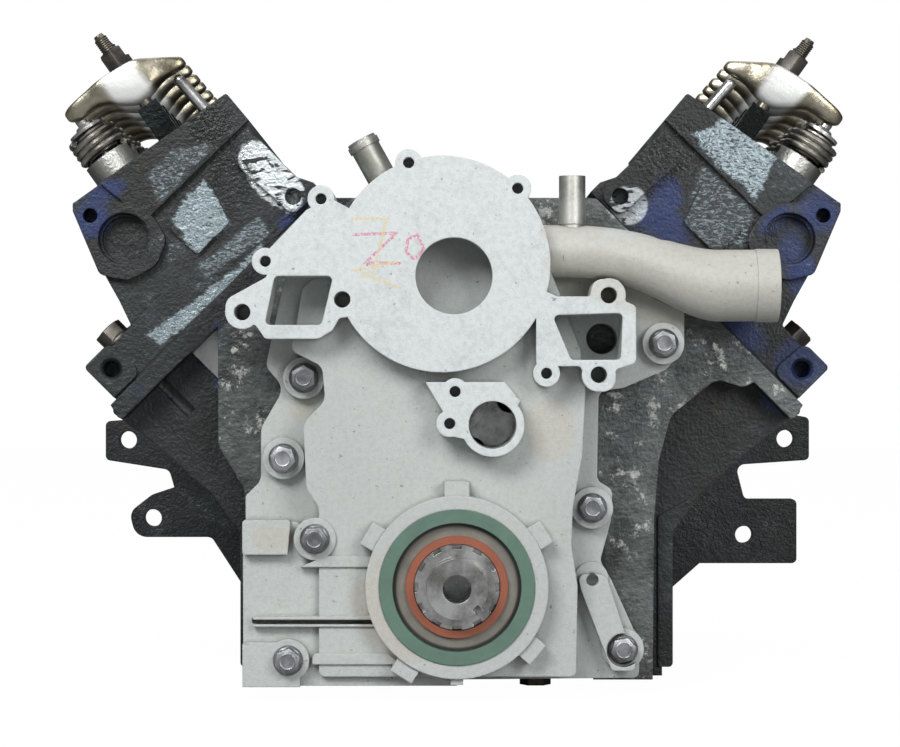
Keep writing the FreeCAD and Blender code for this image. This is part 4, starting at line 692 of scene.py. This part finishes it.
def rocker_shell():
    """A pressed rocker: a trough whose width, floor and rim follow the stations from pushrod to valve end."""
    part = bmesh.new()
    columns = len(ROCKER_STATIONS) - 1
    bmesh.ops.create_grid(part, x_segments=columns, y_segments=8, size=1)
    for vert in part.verts:
        place, half, floor, rim = ROCKER_STATIONS[round((vert.co.x + 1) / 2 * columns)]
        across = vert.co.y
        turn = across * math.pi / 2
        side = math.copysign(abs(math.sin(turn)) ** 0.55, across) if abs(across) > 0.01 else 0.0
        rise = 1 - abs(math.cos(turn)) ** 0.45 if abs(across) < 0.99 else 1.0
        vert.co = Vector((place, side * half, floor + rise * (rim - floor)))
    bmesh.ops.recalc_face_normals(part, faces=part.faces)
    return part


def add_rockers(side_name, kind):
    side = SIDES[side_name]
    mesh = bmesh.new()
    for station in valve_stations(side, kind):
        shell = rocker_shell()
        if side == LEFT:
            bmesh.ops.scale(shell, verts=shell.verts, vec=(-1, 1, 1))
        put(mesh, shell, about_y(side * RAIL_ANGLE) @ Matrix.Translation((0, station, 0)))
    stem = "%s_%s" % (side_name, kind)
    piece = settle(stem + "_rocker_shells", mesh, stem + "_rockers_body", "rocker_steel", [stem + "_rockers"])
    wall = piece.modifiers.new("wall", "SOLIDIFY")
    wall.thickness = ROCKER_WALL * MM
    wall.offset = -1
    soft = piece.modifiers.new("soft", "SUBSURF")
    soft.levels = 2
    soft.render_levels = 2


# Fasteners of the front

COVER_BOLTS = [(-98.8, 132.5), (-112, 80.6), (-90.5, 29.9), (-107.6, -47.4), (133.5, 154.8), (87.5, 48.6),
               (107.4, -42.7)]
FLANGE_SEAT = 52
HOUSING_SEAT = 28
HOUSING_BOLTS = (2, 3)
COVER_BOLT_END = 90
COVER_SHANK = 4.2


def add_cover_bolts():
    mesh = bmesh.new()
    for index, (across, up) in enumerate(COVER_BOLTS):
        seat = HOUSING_SEAT if index in HOUSING_BOLTS else FLANGE_SEAT
        turn = Matrix.Rotation(math.radians(17 * index), 4, "Z")
        place = Matrix.Translation((across, seat, up)) @ TOWARDS_FRONT @ turn
        put(mesh, flange_bolt(flats=15, height=8.6, flange_radius=9.6, flange_height=2.2), place)
        foot = seat - COVER_BOLT_END
        put(mesh, lathe([(0, 0), (COVER_SHANK, 0), (COVER_SHANK, foot), (0, foot)], 12), place)
    settle("cover_bolt_heads", mesh, "root", "bolt_steel", ["front_cover_bolts"])


# Head bolts, rocker studs and nuts

DECK = 242.2
LIP_GRIP = 11
HEAD_SHANK = 5.4
SHANK_CHAMFER = 1
HEAD_BOLT_ROWS = [(48, 270), (-70, 324)]
END_BOLT_REACH = 48
NUT_FOOT = 399
NUT_HEX = 404
NUT_TOP = 423
NUT_FLATS = 15
NUT_FOOT_RADIUS = 6.8
NUT_CROWN_RADIUS = 6.6
NUT_CROWN_RISE = 0.4
STUD_FOOT = 349
STUD_TOP = 436
STUD_RADIUS = 4.75
STUD_END_RADIUS = 3.6
STUD_IN_NUT = 0.1
THREAD_IN_NUT = 3
THREAD_RUN_OUT = 2
THREAD_PITCH = 1.5
THREAD_DEPTH = 0.55


def head_bolt_stations(side):
    centres = bore_stations(side)
    between = [centre + BORE_PITCH / 2 for centre in centres[:-1]]
    return [centres[0] - END_BOLT_REACH] + between + [centres[-1] + END_BOLT_REACH]


def add_head_bolts():
    mesh = bmesh.new()
    for side in SIDES.values():
        for index, station in enumerate(head_bolt_stations(side)):
            for row, seat in HEAD_BOLT_ROWS:
                turn = Matrix.Rotation(math.radians(23 * index + row), 4, "Z")
                place = about_y(side * BANK_ANGLE) @ Matrix.Translation((side * row, station, seat)) @ turn
                put(mesh, flange_bolt(flats=18, height=11, flange_radius=11, flange_height=2.5), place)
                foot = DECK - LIP_GRIP - seat
                shank = [(0, 0), (HEAD_SHANK, 0), (HEAD_SHANK, foot + SHANK_CHAMFER),
                         (HEAD_SHANK - SHANK_CHAMFER, foot), (0, foot)]
                put(mesh, lathe(shank, 12), place)
    settle("head_bolt_heads", mesh, "root", "dark_steel", ["head_bolts"])


def threaded_profile(radius, low, high):
    """Ridges and grooves of a thread between two heights."""
    count = int((high - low) / THREAD_PITCH)
    points = []
    for index in range(count):
        foot = low + index * THREAD_PITCH
        points += [(radius - THREAD_DEPTH, foot + 0.1), (radius, foot + 0.6), (radius, foot + 0.9)]
    return points


def rocker_stud():
    """Plain up into the nut and threaded above it; like the nut, it is drawn at its heights on the rail."""
    low = NUT_TOP - THREAD_IN_NUT
    high = STUD_TOP - THREAD_RUN_OUT
    profile = [(0, STUD_FOOT), (STUD_RADIUS, STUD_FOOT), (STUD_RADIUS, low)]
    profile += threaded_profile(STUD_RADIUS, low, high)
    profile += [(STUD_END_RADIUS, high), (STUD_END_RADIUS - 0.4, STUD_TOP), (0, STUD_TOP)]
    return lathe(profile, 18)


def rocker_nut(turn):
    """A hexagon on a round foot, under a low crown."""
    part = bmesh.new()
    bore = STUD_RADIUS + STUD_IN_NUT
    foot = [(NUT_FOOT_RADIUS, NUT_FOOT), (NUT_FOOT_RADIUS, NUT_HEX), (bore, NUT_HEX), (bore, NUT_FOOT),
            (NUT_FOOT_RADIUS, NUT_FOOT)]
    put(part, lathe(foot, 20), Matrix())
    shoulder = NUT_TOP - NUT_CROWN_RISE
    hexagon = hex_prism(NUT_FLATS, shoulder - NUT_HEX, 0.9)
    put(part, hexagon, Matrix.Translation((0, 0, NUT_HEX)) @ turn)
    crown = [(0, shoulder), (NUT_CROWN_RADIUS, shoulder), (NUT_CROWN_RADIUS - NUT_CROWN_RISE, NUT_TOP),
             (0, NUT_TOP)]
    put(part, lathe(crown, 20), Matrix())
    return part


def add_studs():
    studs = bmesh.new()
    nuts = bmesh.new()
    for side in SIDES.values():
        for kind in VALVE_KINDS:
            for station in valve_stations(side, kind):
                place = about_y(side * RAIL_ANGLE) @ Matrix.Translation((side * STUD_PLACE, station, 0))
                turn = Matrix.Rotation(math.radians(station * 7), 4, "Z")
                put(studs, rocker_stud(), place)
                put(nuts, rocker_nut(turn), place)
    threads = settle("stud_threads", studs, "root", "dark_steel", ["rocker_studs"])
    threads.data.materials[0] = thread_steel()
    settle("nut_hexes", nuts, "root", "dark_steel", ["rocker_nuts"])


def add_valve_gear():
    for side_name in SIDES:
        for kind in VALVE_KINDS:
            add_springs(side_name, kind)
            add_rockers(side_name, kind)


# Camera, floor and light

IMAGE_WIDTH = 900
CAMERA_PLACE = (-0.0044, -1.715, 0.1354)
FOCAL_PIXELS = 2735.6
SENSOR = 36
FLOOR_REACH = 6
FLOOR_GAP = 0.001
FLOOR_GLOW = 1.06
GLOW_SHARE = 0.93


def add_camera():
    data = bpy.data.cameras.new("camera")
    data.sensor_width = SENSOR
    data.lens = FOCAL_PIXELS * SENSOR / IMAGE_WIDTH
    data.clip_end = 30
    camera = bpy.data.objects.new("camera", data)
    camera.location = CAMERA_PLACE
    camera.rotation_euler = (math.radians(90), 0, 0)
    scene.collection.objects.link(camera)
    scene.camera = camera


def add_floor():
    """A grey floor that glows almost white, but only to the camera."""
    mesh = bmesh.new()
    bmesh.ops.create_grid(mesh, x_segments=1, y_segments=1, size=FLOOR_REACH)
    bmesh.ops.translate(mesh, verts=mesh.verts, vec=(0, 0, cad_bounds[0][2] - FLOOR_GAP))
    data = bpy.data.meshes.new("floor")
    mesh.to_mesh(data)
    mesh.free()
    floor = bpy.data.objects.new("floor", data)
    scene.collection.objects.link(floor)
    made = Finish("pale_floor")
    made.finish((0.30, 0.30, 0.30), 0.7)
    glow = made.node("ShaderNodeEmission", Color=(1, 1, 1, 1), Strength=FLOOR_GLOW)
    rays = made.node("ShaderNodeLightPath")
    mixed = made.node("ShaderNodeMixShader")
    made.feed(mixed.inputs[0], Signal(made, rays.outputs["Is Camera Ray"]) * GLOW_SHARE)
    made.feed(mixed.inputs[1], made.shader.outputs[0])
    made.feed(mixed.inputs[2], glow.outputs[0])
    made.feed(made.tree.nodes["Material Output"].inputs["Surface"], mixed.outputs[0])
    data.materials.append(made.material)


def add_lamp(name, place, target, size, power):
    data = bpy.data.lights.new(name, "AREA")
    data.shape = "RECTANGLE"
    data.size = size[0]
    data.size_y = size[1]
    data.energy = power
    lamp = bpy.data.objects.new(name, data)
    lamp.location = place
    lamp.rotation_euler = (Vector(target) - Vector(place)).to_track_quat("-Z", "Y").to_euler()
    scene.collection.objects.link(lamp)


def add_world():
    """White to the camera, a dim cool light to everything else."""
    world = bpy.data.worlds.new("studio")
    scene.world = world
    world.use_nodes = True
    tree = world.node_tree
    lit = tree.nodes["Background"]
    lit.inputs[0].default_value = (0.84, 0.88, 0.94, 1)
    lit.inputs[1].default_value = 0.20
    white = tree.nodes.new("ShaderNodeBackground")
    white.inputs[0].default_value = (1, 1, 1, 1)
    white.inputs[1].default_value = 1.0
    rays = tree.nodes.new("ShaderNodeLightPath")
    mixed = tree.nodes.new("ShaderNodeMixShader")
    tree.links.new(rays.outputs["Is Camera Ray"], mixed.inputs[0])
    tree.links.new(lit.outputs[0], mixed.inputs[1])
    tree.links.new(white.outputs[0], mixed.inputs[2])
    tree.links.new(mixed.outputs[0], tree.nodes["World Output"].inputs["Surface"])


add_camera()
add_floor()
add_world()
add_lamp("key", place=(-0.9, -1.9, 1.5), target=(0, 0.1, 0.1), size=(1.2, 0.9), power=46)
add_lamp("fill", place=(1.2, -2.0, 0.9), target=(0, 0.1, 0.1), size=(0.9, 1.2), power=26)
add_lamp("top", place=(0, 0.2, 1.7), target=(0, 0.2, 0), size=(1.4, 1.4), power=9)
dress_nodes()
add_valve_gear()
add_cover_bolts()
add_head_bolts()
add_studs()
